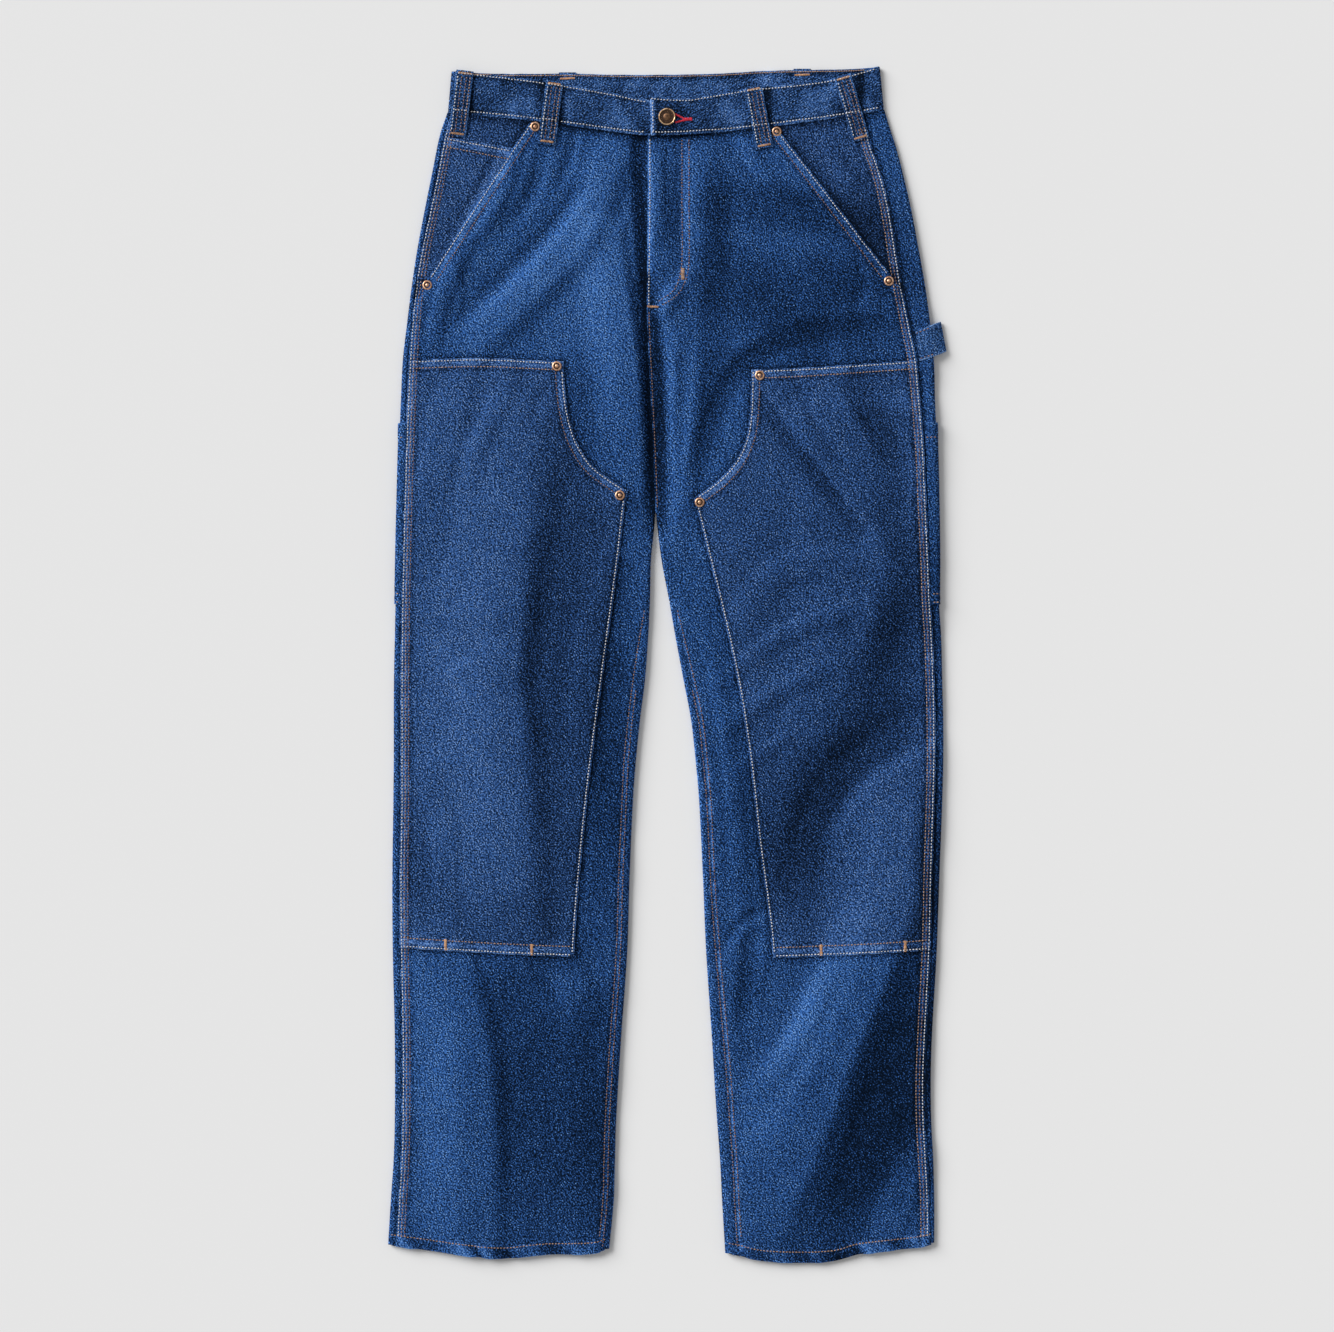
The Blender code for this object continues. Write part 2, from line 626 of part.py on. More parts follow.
def make_object(name, vertices, faces, look):
    mesh = bpy.data.meshes.new(name)
    mesh.from_pydata(vertices, [], faces)
    shape = bmesh.new()
    shape.from_mesh(mesh)
    bmesh.ops.recalc_face_normals(shape, faces=shape.faces)
    shape.to_mesh(mesh)
    shape.free()
    mesh.materials.append(make_material(name, look))
    item = bpy.data.objects.new(name, mesh)
    bpy.context.scene.collection.objects.link(item)
    return item


def cloth_wall(name, points, thickness, look):
    """A closed wall of cloth round a grid of mid-cloth points."""
    rows = len(points)
    columns = len(points[0])
    normals = grid_normals(points, 1)
    half = thickness * MM / 2
    vertices = []
    for sign in (1, -1):
        for row, line in zip(points, normals):
            vertices += [point + normal * half * sign for point, normal in zip(row, line)]
    layer = rows * columns
    faces = []
    for i in range(rows - 1):
        for j in range(columns - 1):
            a, b = i * columns + j, i * columns + j + 1
            c, d = a + columns, b + columns
            faces += [(a, b, d), (a, d, c)]
            faces += [(a + layer, d + layer, b + layer), (a + layer, c + layer, d + layer)]
    rim = [j for j in range(columns)]
    rim += [i * columns + columns - 1 for i in range(1, rows)]
    rim += [(rows - 1) * columns + j for j in range(columns - 2, -1, -1)]
    rim += [i * columns for i in range(rows - 2, 0, -1)]
    for here, there in zip(rim, rim[1:] + rim[:1]):
        faces += [(here, there + layer, there), (here, here + layer, there + layer)]
    return make_object(name, vertices, faces, look)


def facing_grid(leg):
    """The cloth seen inside a pocket mouth, from the outseam to under the front."""
    grid = []
    mouth_across, mouth_down = leg.mouth[1]
    rows = [row for row in leg.rows if leg.meet(row, leg.mouth_across)[1] < mouth_down + 0.5]
    for nominal in rows:
        seam = leg.meet(nominal, lambda at: leg.read("outer_seam", at))[0] - leg.outward * SEAM_GAP / 2
        mouth = leg.meet(nominal, leg.mouth_across)[0]
        inner = mouth - leg.outward * FACING_UNDER
        row = []
        for share in (0.0, 0.3, 0.65, 1.0):
            x = seam + (inner - seam) * share
            y = leg.line_down(x, nominal)
            if nominal == rows[-1]:
                beyond = min(1.0, max(0.0, (x - mouth_across) / (seam - mouth_across)))
                y = mouth_down - LOOSE_GAP - 0.4 + MOUTH_TURN * beyond
            row.append((x, y, top_height(x, y)))
        grid.append(row)
    return grid


def coin_pocket_grid(leg):
    """The small pocket on the right facing, from its own top edge to the mouth's foot."""
    grid = []
    left_top, right_top = COIN_POCKET_TOP
    foot = leg.mouth[1][1] - 3.0
    for step in range(COIN_POCKET_ROWS + 1):
        share = step / COIN_POCKET_ROWS
        left_down = left_top + (foot - left_top) * share
        right_down = right_top + (foot - right_top) * share
        left = leg.read("outer_seam", left_down) + LOOSE_GAP
        right = leg.mouth_across(right_down) - 2 * LOOSE_GAP
        row = []
        for part in (0.0, 0.33, 0.66, 1.0):
            x = left + (right - left) * part
            y = left_down + (right_down - left_down) * part
            row.append((x, y, top_height(x, y) + MOUTH_STEP))
        grid.append(row)
    return grid


def strip(stations, columns=2):
    """A grid along a band whose stations give its top and foot edges."""
    grid = []
    for station in stations:
        row = []
        for index in range(columns + 1):
            share = index / columns
            across = station.top_across + (station.foot_across - station.top_across) * share
            down = station.top_down + (station.foot_down - station.top_down) * share
            row.append((across, down, station.height))
        grid.append(row)
    return grid


def band_stations():
    """The waistband's stations, lifted where a belt loop lies under its back."""
    lifted = []
    for station in BAND_STATIONS:
        if station.height < BAND_CLOTH:
            middle = (station.top_across + station.foot_across) / 2
            station = station._replace(height=station.height + zone_lift(middle, station.top_down))
        lifted.append(station)
    return lifted


def skin_height(legs, across, down):
    """Height of the uppermost surface of the panels at a place on the front."""
    leg = legs[0] if across < smooth_read(FRONT_MIDDLE, down) else legs[1]
    mouth = leg.mouth_across(down)
    in_mouth = down < leg.mouth[1][1] and leg.outward * (across - mouth) > 0
    height = top_height(across, down) if in_mouth else leg.front_height(across, down)
    patch_top = leg.line_down(across, PATCH_TOP)
    if down > patch_top - 1 and leg.outward * (across - leg.patch_across(down)) > -1:
        height += STEP_UP
    return height + CLOTH / 2


def highest_skin(legs, across, down, radius):
    ring = [math.tau * step / 8 for step in range(8)]
    places = [(across + radius * math.cos(turn), down + radius * math.sin(turn)) for turn in ring]
    return max(skin_height(legs, x, y) for x, y in places + [(across, down)])


def front_loop_grid(legs, loop):
    """A belt loop over the front band, with its foot stepped down to the panel."""
    run_x = loop.foot_across - loop.top_across
    run_y = loop.foot_down - loop.top_down
    length = math.hypot(run_x, run_y)
    side_x, side_y = -run_y / length, run_x / length
    foot = highest_skin(legs, loop.foot_across, loop.foot_down, LOOP_WIDTH / 2) + LOOSE_GAP + CLOTH / 2
    over = max(LOOP_OVER_BAND, foot)
    shares_heights = (
        (0.0, over), (0.14, over + 0.4), (0.4, over + 0.9), (0.62, over + 0.4),
        (0.76, over), (0.88, max(foot, over - 0.6)), (1.0, foot),
    )
    grid = []
    for share, height in shares_heights:
        row = []
        for part in (-0.5, 0.0, 0.5):
            across = loop.top_across + run_x * share + side_x * LOOP_WIDTH * part
            down = loop.top_down + run_y * share + side_y * LOOP_WIDTH * part
            row.append((across, down, height))
        grid.append(row)
    return grid


def back_loop_grid(loop):
    """A belt loop under the back band, flat on the table."""
    grid = []
    for share in (0.0, 0.5, 1.0):
        down = loop.top_down + (loop.foot_down - loop.top_down) * share
        row = [(loop.top_across + LOOP_WIDTH * part, down, CLOTH / 2) for part in (-0.5, 0.5)]
        grid.append(row)
    return grid


def turned(name, across, down, base, rings, segments, look):
    """A small round piece from rings of (radius, height) above its base."""
    vertices = []
    for radius, height in rings:
        for step in range(segments):
            turn = math.tau * step / segments
            place = put(across + radius * math.cos(turn), down + radius * math.sin(turn), base + height)
            vertices.append(place)
    faces = []
    for ring in range(len(rings) - 1):
        for step in range(segments):
            a = ring * segments + step
            b = ring * segments + (step + 1) % segments
            faces.append((a, b, b + segments, a + segments))
    faces.append(tuple(range(segments)))
    faces.append(tuple((len(rings) - 1) * segments + step for step in range(segments)))
    return make_object(name, vertices, faces, look)


def build():
    for item in list(bpy.data.objects):
        bpy.data.objects.remove(item, do_unlink=True)
    right = Leg(
        "right", -1, RIGHT_EDGES, RIGHT_LINES, RIGHT_PATCH_EDGE, RIGHT_PATCH_SIDE, RIGHT_MOUTH, RIGHT_ROWS,
    )
    left = Leg("left", 1, LEFT_EDGES, LEFT_LINES, LEFT_PATCH_EDGE, LEFT_PATCH_SIDE, LEFT_MOUTH, LEFT_ROWS)
    legs = (right, left)
    for leg in legs:
        front = to_metres(front_grid(leg))
        back = to_metres(back_grid(leg))
        cloth_wall("front_" + leg.side, front, CLOTH, DENIM)
        cloth_wall("back_" + leg.side, back, CLOTH, DENIM_DARK)
        cloth_wall("pocket_facing_" + leg.side, to_metres(facing_grid(leg)), CLOTH, DENIM_DARK)
        first, last = leg.rows.index(PATCH_TOP), leg.rows.index(PATCH_FOOT) + 1
        patch = moved_out(front, -leg.outward, STEP_UP)
        patch = [row[:len(OUTER_SHARES)] for row in patch[first:last]]
        cloth_wall("knee_patch_" + leg.side, patch, CLOTH, DENIM)
        first, last = leg.rows.index(TOOL_POCKET_TOP), leg.rows.index(TOOL_POCKET_FOOT) + 1
        pocket = moved_out(back, leg.outward, STEP_UP)
        pocket = [row[1:2 + len(SIDE_SHARES) + 3] for row in pocket[first:last]]
        cloth_wall("tool_pocket_" + leg.side, pocket, CLOTH, DENIM)
    cloth_wall("coin_pocket", to_metres(coin_pocket_grid(right)), CLOTH, DENIM)
    cloth_wall("waistband", to_metres(strip(band_stations())), BAND_CLOTH, DENIM)
    cloth_wall("hammer_loop", to_metres(strip(HAMMER_STATIONS, 1)), CLOTH, DENIM)
    for loop in FRONT_LOOPS:
        cloth_wall(loop.name, to_metres(front_loop_grid(legs, loop)), CLOTH, DENIM)
    for loop in BACK_LOOPS:
        cloth_wall(loop.name, to_metres(back_loop_grid(loop)), CLOTH, DENIM)
    for rivet in RIVETS:
        base = highest_skin(legs, rivet.across, rivet.down, RIVET_RADIUS) + LAYER_GAP
        turned(rivet.name, rivet.across, rivet.down, base, RIVET_RINGS, 12, COPPER)
    turned("button", *BUTTON_PLACE, BUTTON_BASE, BUTTON_RINGS, 16, BRASS)


build()
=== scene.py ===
"""Looks of the double-knee carpenter pants: cloth shells, sewing, metal, light and camera.

Places on the garment are millimetres on its layout, across (to the right) and down
(towards the hems), as in the part's source. put() turns them into metres in the frame.
"""
import math
from collections import namedtuple

import bpy
import numpy as np
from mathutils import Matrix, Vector
from mathutils.bvhtree import BVHTree


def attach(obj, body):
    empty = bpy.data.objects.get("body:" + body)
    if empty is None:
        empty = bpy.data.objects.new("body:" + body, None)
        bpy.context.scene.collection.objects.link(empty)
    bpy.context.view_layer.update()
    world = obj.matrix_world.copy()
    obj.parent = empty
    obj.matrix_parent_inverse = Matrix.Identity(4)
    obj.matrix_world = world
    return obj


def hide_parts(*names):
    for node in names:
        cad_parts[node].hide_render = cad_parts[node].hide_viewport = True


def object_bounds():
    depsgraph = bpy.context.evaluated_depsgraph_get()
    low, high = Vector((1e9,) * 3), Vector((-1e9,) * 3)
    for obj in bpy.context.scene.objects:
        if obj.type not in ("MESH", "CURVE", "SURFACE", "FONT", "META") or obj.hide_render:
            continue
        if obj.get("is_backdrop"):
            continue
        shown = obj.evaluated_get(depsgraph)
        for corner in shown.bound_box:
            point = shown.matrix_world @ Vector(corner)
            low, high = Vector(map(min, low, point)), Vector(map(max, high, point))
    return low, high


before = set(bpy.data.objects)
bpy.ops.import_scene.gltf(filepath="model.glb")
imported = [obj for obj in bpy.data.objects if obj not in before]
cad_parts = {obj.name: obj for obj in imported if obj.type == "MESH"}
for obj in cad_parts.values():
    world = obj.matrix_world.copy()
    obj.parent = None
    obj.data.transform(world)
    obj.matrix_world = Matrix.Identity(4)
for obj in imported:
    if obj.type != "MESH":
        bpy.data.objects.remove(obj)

CAD_BOX = [list(corner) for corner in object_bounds()]

# Layout, cloth and seams, in millimetres
MM = 0.001
CENTRE = (667.0, 664.5)
CLOTH = 1.2
BAND_CLOTH = 2.0
SEAM_GAP = 0.16
STEP_UP = 1.5
MOUTH_STEP = 1.7
AIR_MEAN = 2.3
AIR_MORE = 1.2
FOLD_GAIN = 3.4
AIR_LEAST = 0.5
CURL_EASE = 2.9
FACING_UNDER = 12.0
FLY_UNDER = 13.0
FLY_STEP_REACH = 32.0
FLY_FOOT = 300.0
PITCH = 4.0

BAND_LINE, PATCH_TOP, CROTCH, PATCH_FOOT, HEM = 126.0, 362.0, 516.0, 952.0, 1250.0
LINE_DOWNS = (BAND_LINE, PATCH_TOP, CROTCH, PATCH_FOOT, HEM)
TOOL_POCKET_TOP, TOOL_POCKET_FOOT = 424.0, 605.0
TOOL_POCKET_REACH = 112.0

Edge = namedtuple("Edge", "down outer_edge outer_seam inner_edge seam_in")
Fold = namedtuple("Fold", "points lit shade amount")
Zone = namedtuple("Zone", "left right top bottom")
Station = namedtuple("Station", "top_across top_down foot_across foot_down height")
Loop = namedtuple("Loop", "name top_across top_down foot_across foot_down")

# Outline of each leg, as in the part's source
RIGHT_EDGES = (
    Edge(112, 448.0, 452.0, 651, 1), Edge(136, 440.0, 445.0, 651, 1),
    Edge(170, 433.0, 438.5, 651, 1), Edge(210, 425.0, 430.5, 651, 1),
    Edge(250, 417.5, 422.0, 651, 1), Edge(290, 411.5, 415.5, 651, 1),
    Edge(330, 406.5, 411.5, 651, 1), Edge(361, 403.0, 409.5, 651, 1),
    Edge(410, 400.8, 407.5, 653, 1), Edge(450, 399.5, 406.0, 654, 1),
    Edge(516, 397.8, 404.0, 655, 0.85), Edge(560, 396.8, 403.0, 651, 1.4),
    Edge(600, 396.0, 402.0, 650, 2.2), Edge(640, 395.0, 401.5, 648, 7),
    Edge(680, 394.2, 401.0, 645, 10), Edge(720, 394.0, 401.0, 640, 10),
    Edge(760, 394.0, 401.0, 636, 10), Edge(800, 393.6, 401.0, 633, 9),
    Edge(880, 392.6, 400.0, 629.5, 9), Edge(950, 393.0, 400.5, 627.3, 9),
    Edge(1040, 395.0, 402.0, 621, 9), Edge(1120, 395.0, 402.0, 616.2, 9),
    Edge(1160, 393.8, 401.0, 615, 9), Edge(1200, 391.0, 398.5, 613.8, 9),
    Edge(1250, 388.0, 396.0, 609, 9),
)
LEFT_EDGES = (
    Edge(110, 884.0, 862.0, 651, 1), Edge(136, 892.0, 868.0, 651, 1),
    Edge(148, 896.0, 871.0, 651, 1), Edge(173, 902.5, 880.0, 651, 1),
    Edge(210, 911.0, 889.0, 651, 1), Edge(250, 918.5, 895.5, 651, 1),
    Edge(290, 925.5, 902.0, 651, 1), Edge(330, 930.5, 910.0, 651, 1),
    Edge(361, 933.5, 916.0, 651, 1), Edge(410, 935.0, 920.5, 653, 1),
    Edge(450, 936.5, 923.5, 654, 1), Edge(516, 938.0, 926.5, 656.4, 0.85),
    Edge(560, 938.5, 928.5, 661.5, 1.4), Edge(600, 938.5, 930.0, 669, 4),
    Edge(640, 941.0, 932.5, 676, 7), Edge(680, 942.0, 934.0, 683.5, 9),
    Edge(720, 943.0, 935.0, 691, 10), Edge(760, 943.0, 935.0, 695.5, 10),
    Edge(800, 942.0, 934.0, 699, 10), Edge(880, 939.0, 931.5, 703, 10),
    Edge(950, 936.5, 930.0, 706, 12), Edge(1040, 931.5, 925.5, 712, 14),
    Edge(1080, 930.5, 924.0, 714.3, 15), Edge(1120, 931.0, 924.5, 717, 15),
    Edge(1160, 933.0, 926.5, 720, 15), Edge(1200, 934.0, 928.5, 722, 15),
    Edge(1250, 934.0, 929.0, 725, 15),
)

# Lines across the garment, as (across, down)
BAND_SEAM = (
    (440, 112.5), (455, 114), (470, 115), (529, 121), (561, 125), (640, 136),
    (648, 136.4), (691, 135.4), (753, 129.6), (783, 126), (842, 118), (884, 110.5), (900, 108),
)
BACK_BAND_SEAM = (
    (440, 113.1), (500, 115.6), (650, 116.4), (720, 115.2), (800, 113.4), (884, 110.8), (900, 109),
)
RIGHT_LINES = (
    BAND_SEAM,
    ((395, 361.6), (479.5, 359), (562, 362.2), (660, 363)),
    ((380, 516), (700, 516)),
    ((385, 946), (400.5, 947), (487, 952.3), (573.8, 956), (640, 957)),
    (
        (384, 1243), (398, 1245.5), (424.6, 1249), (487, 1257), (508.6, 1257.5),
        (540.7, 1254), (592.5, 1252.5), (609.5, 1248), (620, 1246),
    ),
)
LEFT_LINES = (
    BAND_SEAM,
    ((640, 365), (752, 370.4), (917.6, 361.2), (940, 360)),
    ((640, 516), (950, 516)),
    ((690, 957), (772.7, 957), (819.6, 955.5), (905, 951), (945, 948)),
    (
        (718, 1251), (740, 1255), (762, 1260), (803, 1262), (836, 1260),
        (856, 1254), (905, 1248), (929.8, 1244), (940, 1238),
    ),
)

# The inner edge of each knee patch, as (down, across), above and below its rivet corner
RIGHT_PATCH_EDGE = (
    (350, 563.5), (362, 563.5), (399.5, 566.2), (424.4, 571), (444.3, 578), (467.5, 594), (492, 628),
)
RIGHT_PATCH_SIDE = ((492, 628), (501, 625.4), (558.7, 618.8), (790, 588.5), (956, 574), (1260, 562))
LEFT_PATCH_EDGE = (
    (350, 752), (370, 751.5), (414.3, 750), (438.8, 746), (461, 736), (481.6, 717.6), (499, 693.5),
)
LEFT_PATCH_SIDE = (
    (499, 693.5), (509, 697), (559, 709.4), (608, 721.6), (683, 738), (761, 750), (838, 758.4),
    (956, 772.7), (1260, 785),
)
RIGHT_CORNER_ROW, LEFT_CORNER_ROW = 491.9, 498.4

# The edge where the fronts meet, as (down, across)
FRONT_MIDDLE = (
    (126, 648), (200, 648.2), (260, 647.6), (300, 647), (330, 647.6), (382, 650), (443, 653),
    (516, 655.7),
)
BACK_MIDDLE = ((100, 651), (330, 651), (443, 653), (516, 655.7))

# Pocket mouths, from the band to the rivet at the foot, and the row of that foot
RIGHT_MOUTH = ((531.6, 121.3), (426.5, 283.0))
LEFT_MOUTH = ((775.0, 127.0), (892.0, 278.5))
RIGHT_MOUTH_ROW, LEFT_MOUTH_ROW = 287.9, 283.6

# The main folds: a crest or trough line, its sideways bow, its reach on each side, its rise
FOLDS = (
    Fold(((612, 152), (593, 206), (562, 256), (519, 300), (470, 344)), 27, 32, 1.00),
    Fold(((590, 186), (552, 232), (512, 274), (464, 322)), 13, 10, -0.36),
    Fold(((544, 150), (532, 194), (508, 230)), 11, 11, -0.50),
    Fold(((516, 154), (500, 202), (474, 242)), 10, 10, 0.50),
    Fold(((500, 146), (482, 186), (460, 222)), 7, 7, -0.35),
    Fold(((468, 242), (448, 290), (436, 338)), 14, 11, 0.60),
    Fold(((450, 260), (460, 290), (454, 322)), 7, 7, 0.35),
    Fold(((575, 136), (570, 162), (558, 186)), 8, 8, -0.40),
    Fold(((617, 242), (628, 314), (637, 394), (640, 482)), 51, 10, 1.10),
    Fold(((638, 134), (640, 210), (645, 290)), 8, 11, -1.10),
    Fold(((647, 290), (654, 370), (658, 450), (657, 530)), 14, 21, -1.40),
    Fold(((656, 146), (657, 242)), 10, 11, 0.60),
    Fold(((693, 146), (693, 282)), 11, 40, 0.90),
    Fold(((657, 318), (688, 276)), 11, 11, 0.60),
    Fold(((700, 354), (694, 426), (687, 506)), 11, 11, 0.50),
    Fold(((678, 338), (673, 410), (670, 482)), 7, 7, 0.30),
    Fold(((724, 154), (796, 178), (880, 214)), 32, 32, 0.60),
    Fold(((732, 154), (756, 178), (804, 214)), 7, 7, -0.40),
    Fold(((744, 138), (760, 170), (788, 198)), 11, 10, 0.60),
    Fold(((828, 146), (848, 178), (880, 202)), 11, 10, 0.50),
    Fold(((852, 250), (863, 282), (857, 306)), 7, 8, -0.50),
    Fold(((780, 234), (816, 282), (828, 314)), 37, 40, 0.50),
    Fold(((876, 327), (796, 336), (742, 368), (713, 420), (698, 474)), 16, 20, -0.60),
    Fold(((754, 392), (804, 458), (862, 533)), 13, 14, -0.90),
    Fold(((796, 378), (818, 426), (852, 474)), 8, 8, -0.40),
    Fold(((828, 374), (848, 410), (880, 450)), 10, 8, 0.40),
    Fold(((860, 386), (892, 450), (900, 498)), 21, 21, -0.60),
    Fold(((857, 527), (876, 570), (855, 642), (828, 714)), 72, 48, 1.00),
    Fold(((732, 634), (780, 574), (857, 562)), 21, 21, 0.50),
    Fold(((724, 682), (780, 638), (852, 610)), 13, 13, 0.40),
    Fold(((724, 730), (780, 690), (836, 666)), 13, 13, 0.40),
    Fold(((740, 770), (796, 730)), 10, 10, 0.30),
    Fold(((920, 726), (860, 762), (816, 818), (802, 890)), 32, 32, -0.80),
    Fold(((912, 762), (894, 898), (863, 994), (823, 1098), (772, 1210)), 67, 48, 1.20),
    Fold(((754, 922), (744, 1026)), 13, 13, -0.60),
    Fold(((724, 946), (742, 922), (764, 910)), 6, 6, -0.50),
    Fold(((828, 978), (796, 1042), (756, 1090)), 16, 16, 0.50),
    Fold(((921, 1154), (892, 1226)), 27, 21, 0.60),
    Fold(((544, 450), (522, 586), (508, 674), (521, 770), (529, 926)), 96, 32, 0.90),
    Fold(((456, 394), (436, 482), (428, 530)), 27, 24, 0.50),
    Fold(((508, 386), (484, 434), (468, 482)), 13, 14, 0.40),
    Fold(((548, 386), (532, 418)), 10, 10, -0.30),
    Fold(((448, 682), (468, 666), (492, 682)), 8, 8, 0.30),
    Fold(((428, 770), (444, 834), (447, 922)), 16, 19, 0.40),
    Fold(((612, 562), (590, 658), (584, 818)), 24, 21, 0.40),
    Fold(((454, 954), (479, 1074), (481, 1242)), 64, 32, 1.00),
    Fold(((566, 954), (590, 1002)), 32, 16, 0.70),
    Fold(((508, 954), (532, 978), (556, 1010)), 11, 11, 0.30),
    Fold(((708, 626), (732, 770), (744, 930)), 11, 13, 0.40),
)

# Things between the table and the back of the garment
UNDER_ZONES = (
    Zone(380, 522, 415, 614), Zone(810, 960, 415, 614), Zone(848, 960, 320, 368),
    Zone(556, 580, 60, 92), Zone(789, 815, 60, 92),
)
ZONE_SLOPE = 26.0

# The waistband from the end under the button, round the back, to the end with the buttonhole
BAND_STATIONS = (
    Station(700.0, 102.0, 699.0, 133.8, 5.2), Station(672.0, 102.3, 671.0, 134.6, 5.2),
    Station(646.0, 101.2, 644.0, 135.2, 5.2), Station(618.0, 95.5, 611.0, 131.4, 5.2),
    Station(582.0, 88.8, 574.0, 126.2, 5.2), Station(539.0, 82.0, 531.0, 120.7, 5.3),
    Station(505.0, 77.6, 499.0, 117.4, 5.2), Station(473.0, 74.0, 469.0, 114.4, 5.0),
    Station(459.0, 72.9, 455.5, 113.4, 4.8), Station(454.3, 72.6, 450.6, 113.0, 4.3),
    Station(452.6, 72.4, 448.9, 112.8, 3.1), Station(454.5, 72.6, 450.8, 112.9, 1.6),
    Station(460.0, 73.0, 457.0, 113.2, 1.1), Station(495.0, 74.2, 493.0, 114.2, 1.0),
    Station(540.0, 74.4, 540.0, 114.6, 1.0), Station(556.0, 74.4, 556.0, 114.8, 1.0),
    Station(580.0, 74.6, 580.0, 115.0, 1.0), Station(640.0, 75.4, 640.0, 115.4, 1.0),
    Station(715.0, 74.2, 715.0, 114.2, 1.0), Station(765.0, 71.4, 766.0, 113.0, 1.0),
    Station(789.0, 70.9, 790.0, 112.6, 1.0), Station(815.0, 70.6, 817.0, 111.8, 1.0),
    Station(852.0, 69.6, 855.0, 110.8, 1.0), Station(871.0, 68.2, 875.0, 110.2, 1.1),
    Station(876.8, 67.7, 881.0, 110.0, 1.7), Station(878.6, 67.5, 882.8, 109.9, 3.1),
    Station(876.8, 67.9, 881.0, 110.2, 4.3), Station(872.0, 69.2, 875.5, 111.2, 4.8),
    Station(852.0, 75.0, 852.0, 115.6, 5.1), Station(832.0, 80.0, 831.0, 118.8, 5.2),
    Station(792.0, 85.8, 789.0, 124.4, 5.2), Station(752.0, 89.6, 750.0, 129.2, 5.2),
    Station(722.0, 94.4, 720.0, 132.4, 5.6), Station(704.0, 97.8, 703.0, 133.7, 7.5),
    Station(688.0, 100.2, 687.0, 134.9, 7.9), Station(668.0, 99.8, 667.5, 135.6, 7.9),
    Station(650.5, 98.4, 651.5, 135.8, 7.9),
)

LOOP_WIDTH = 17.0
FRONT_LOOPS = (
    Loop("belt_loop_side_right", 465.5, 72.2, 457.5, 137.5),
    Loop("belt_loop_front_right", 555.0, 82.5, 547.0, 145.5),
    Loop("belt_loop_front_left", 753.0, 88.0, 764.5, 149.5),
    Loop("belt_loop_side_left", 842.0, 77.0, 861.0, 141.0),
)
BACK_LOOPS = (
    Loop("belt_loop_back_right", 567.5, 72.6, 567.5, 111.0),
    Loop("belt_loop_back_left", 802.0, 69.0, 802.0, 109.0),
)
HAMMER_STATIONS = (
    Station(914.8, 332.5, 919.0, 361.5, 7.2), Station(929.0, 326.8, 934.0, 356.6, 7.2),
    Station(935.0, 324.2, 940.5, 353.8, 5.6), Station(939.0, 322.7, 944.6, 352.2, 4.2),
    Station(940.2, 322.3, 945.8, 351.8, 2.8), Station(938.6, 322.9, 944.2, 352.4, 1.5),
    Station(934.0, 325.0, 939.4, 354.5, 0.6), Station(903.0, 329.0, 906.0, 358.0, 0.6),
    Station(884.0, 331.0, 886.0, 360.0, 0.6),
)

# Distances from an edge where points are added, to shape its fold and its rows of sewing
PLAIN_RIM = (0.0, 0.5, 1.2, 2.4)
SEWN_RIM = (0.0, 0.45, 1.0, 1.8, 2.6, 3.8, 5.6, 7.4, 8.2, 9.0, 10.4)
ROW_NEAR, ROW_FAR = 1.8, 8.3

# Shares of each part of the denim look, and its colours from hollow to crest
SPECKLE = 0.48
SLUB_SHARE, BLOTCH_SHARE, TWILL_SHARE = 0.34, 0.14, 0.10
FADE_AND_SHADE_SHARE, WEAR_SHARE = 0.50, 0.34
DENIM_STOPS = (
    (0.00, (0.0014, 0.0050, 0.014)), (0.15, (0.0034, 0.0140, 0.042)), (0.30, (0.0076, 0.029, 0.093)),
    (0.46, (0.0150, 0.056, 0.182)), (0.62, (0.026, 0.098, 0.310)), (0.80, (0.046, 0.158, 0.450)),
    (1.00, (0.125, 0.285, 0.590)),
)

# Dark and light colour of each thread
THREADS = {
    "tan": ((0.17, 0.085, 0.050), (0.54, 0.36, 0.25)),
    "pale": ((0.34, 0.35, 0.38), (0.86, 0.86, 0.86)),
    "brown": ((0.085, 0.045, 0.036), (0.34, 0.20, 0.14)),
    "rust": ((0.24, 0.11, 0.05), (0.62, 0.36, 0.20)),
    "orange": ((0.34, 0.15, 0.06), (0.74, 0.44, 0.24)),
    "red": ((0.42, 0.006, 0.020), (0.78, 0.025, 0.075)),
}

# Name, colour stops and roughness of each metal
METALS = (
    ("aged_copper", ((0.30, (0.20, 0.085, 0.045)), (0.48, (0.66, 0.36, 0.22)), (0.66, (0.95, 0.66, 0.46))), 0.38),
    ("antiqued_brass", ((0.30, (0.12, 0.060, 0.030)), (0.48, (0.60, 0.36, 0.19)), (0.64, (1.0, 0.74, 0.46))), 0.42),
    ("dark_metal", ((0.30, (0.02, 0.012, 0.010)), (0.70, (0.10, 0.055, 0.035))), 0.6),
    ("dull_brass", ((0.30, (0.04, 0.020, 0.012)), (0.70, (0.28, 0.15, 0.08))), 0.5),
)

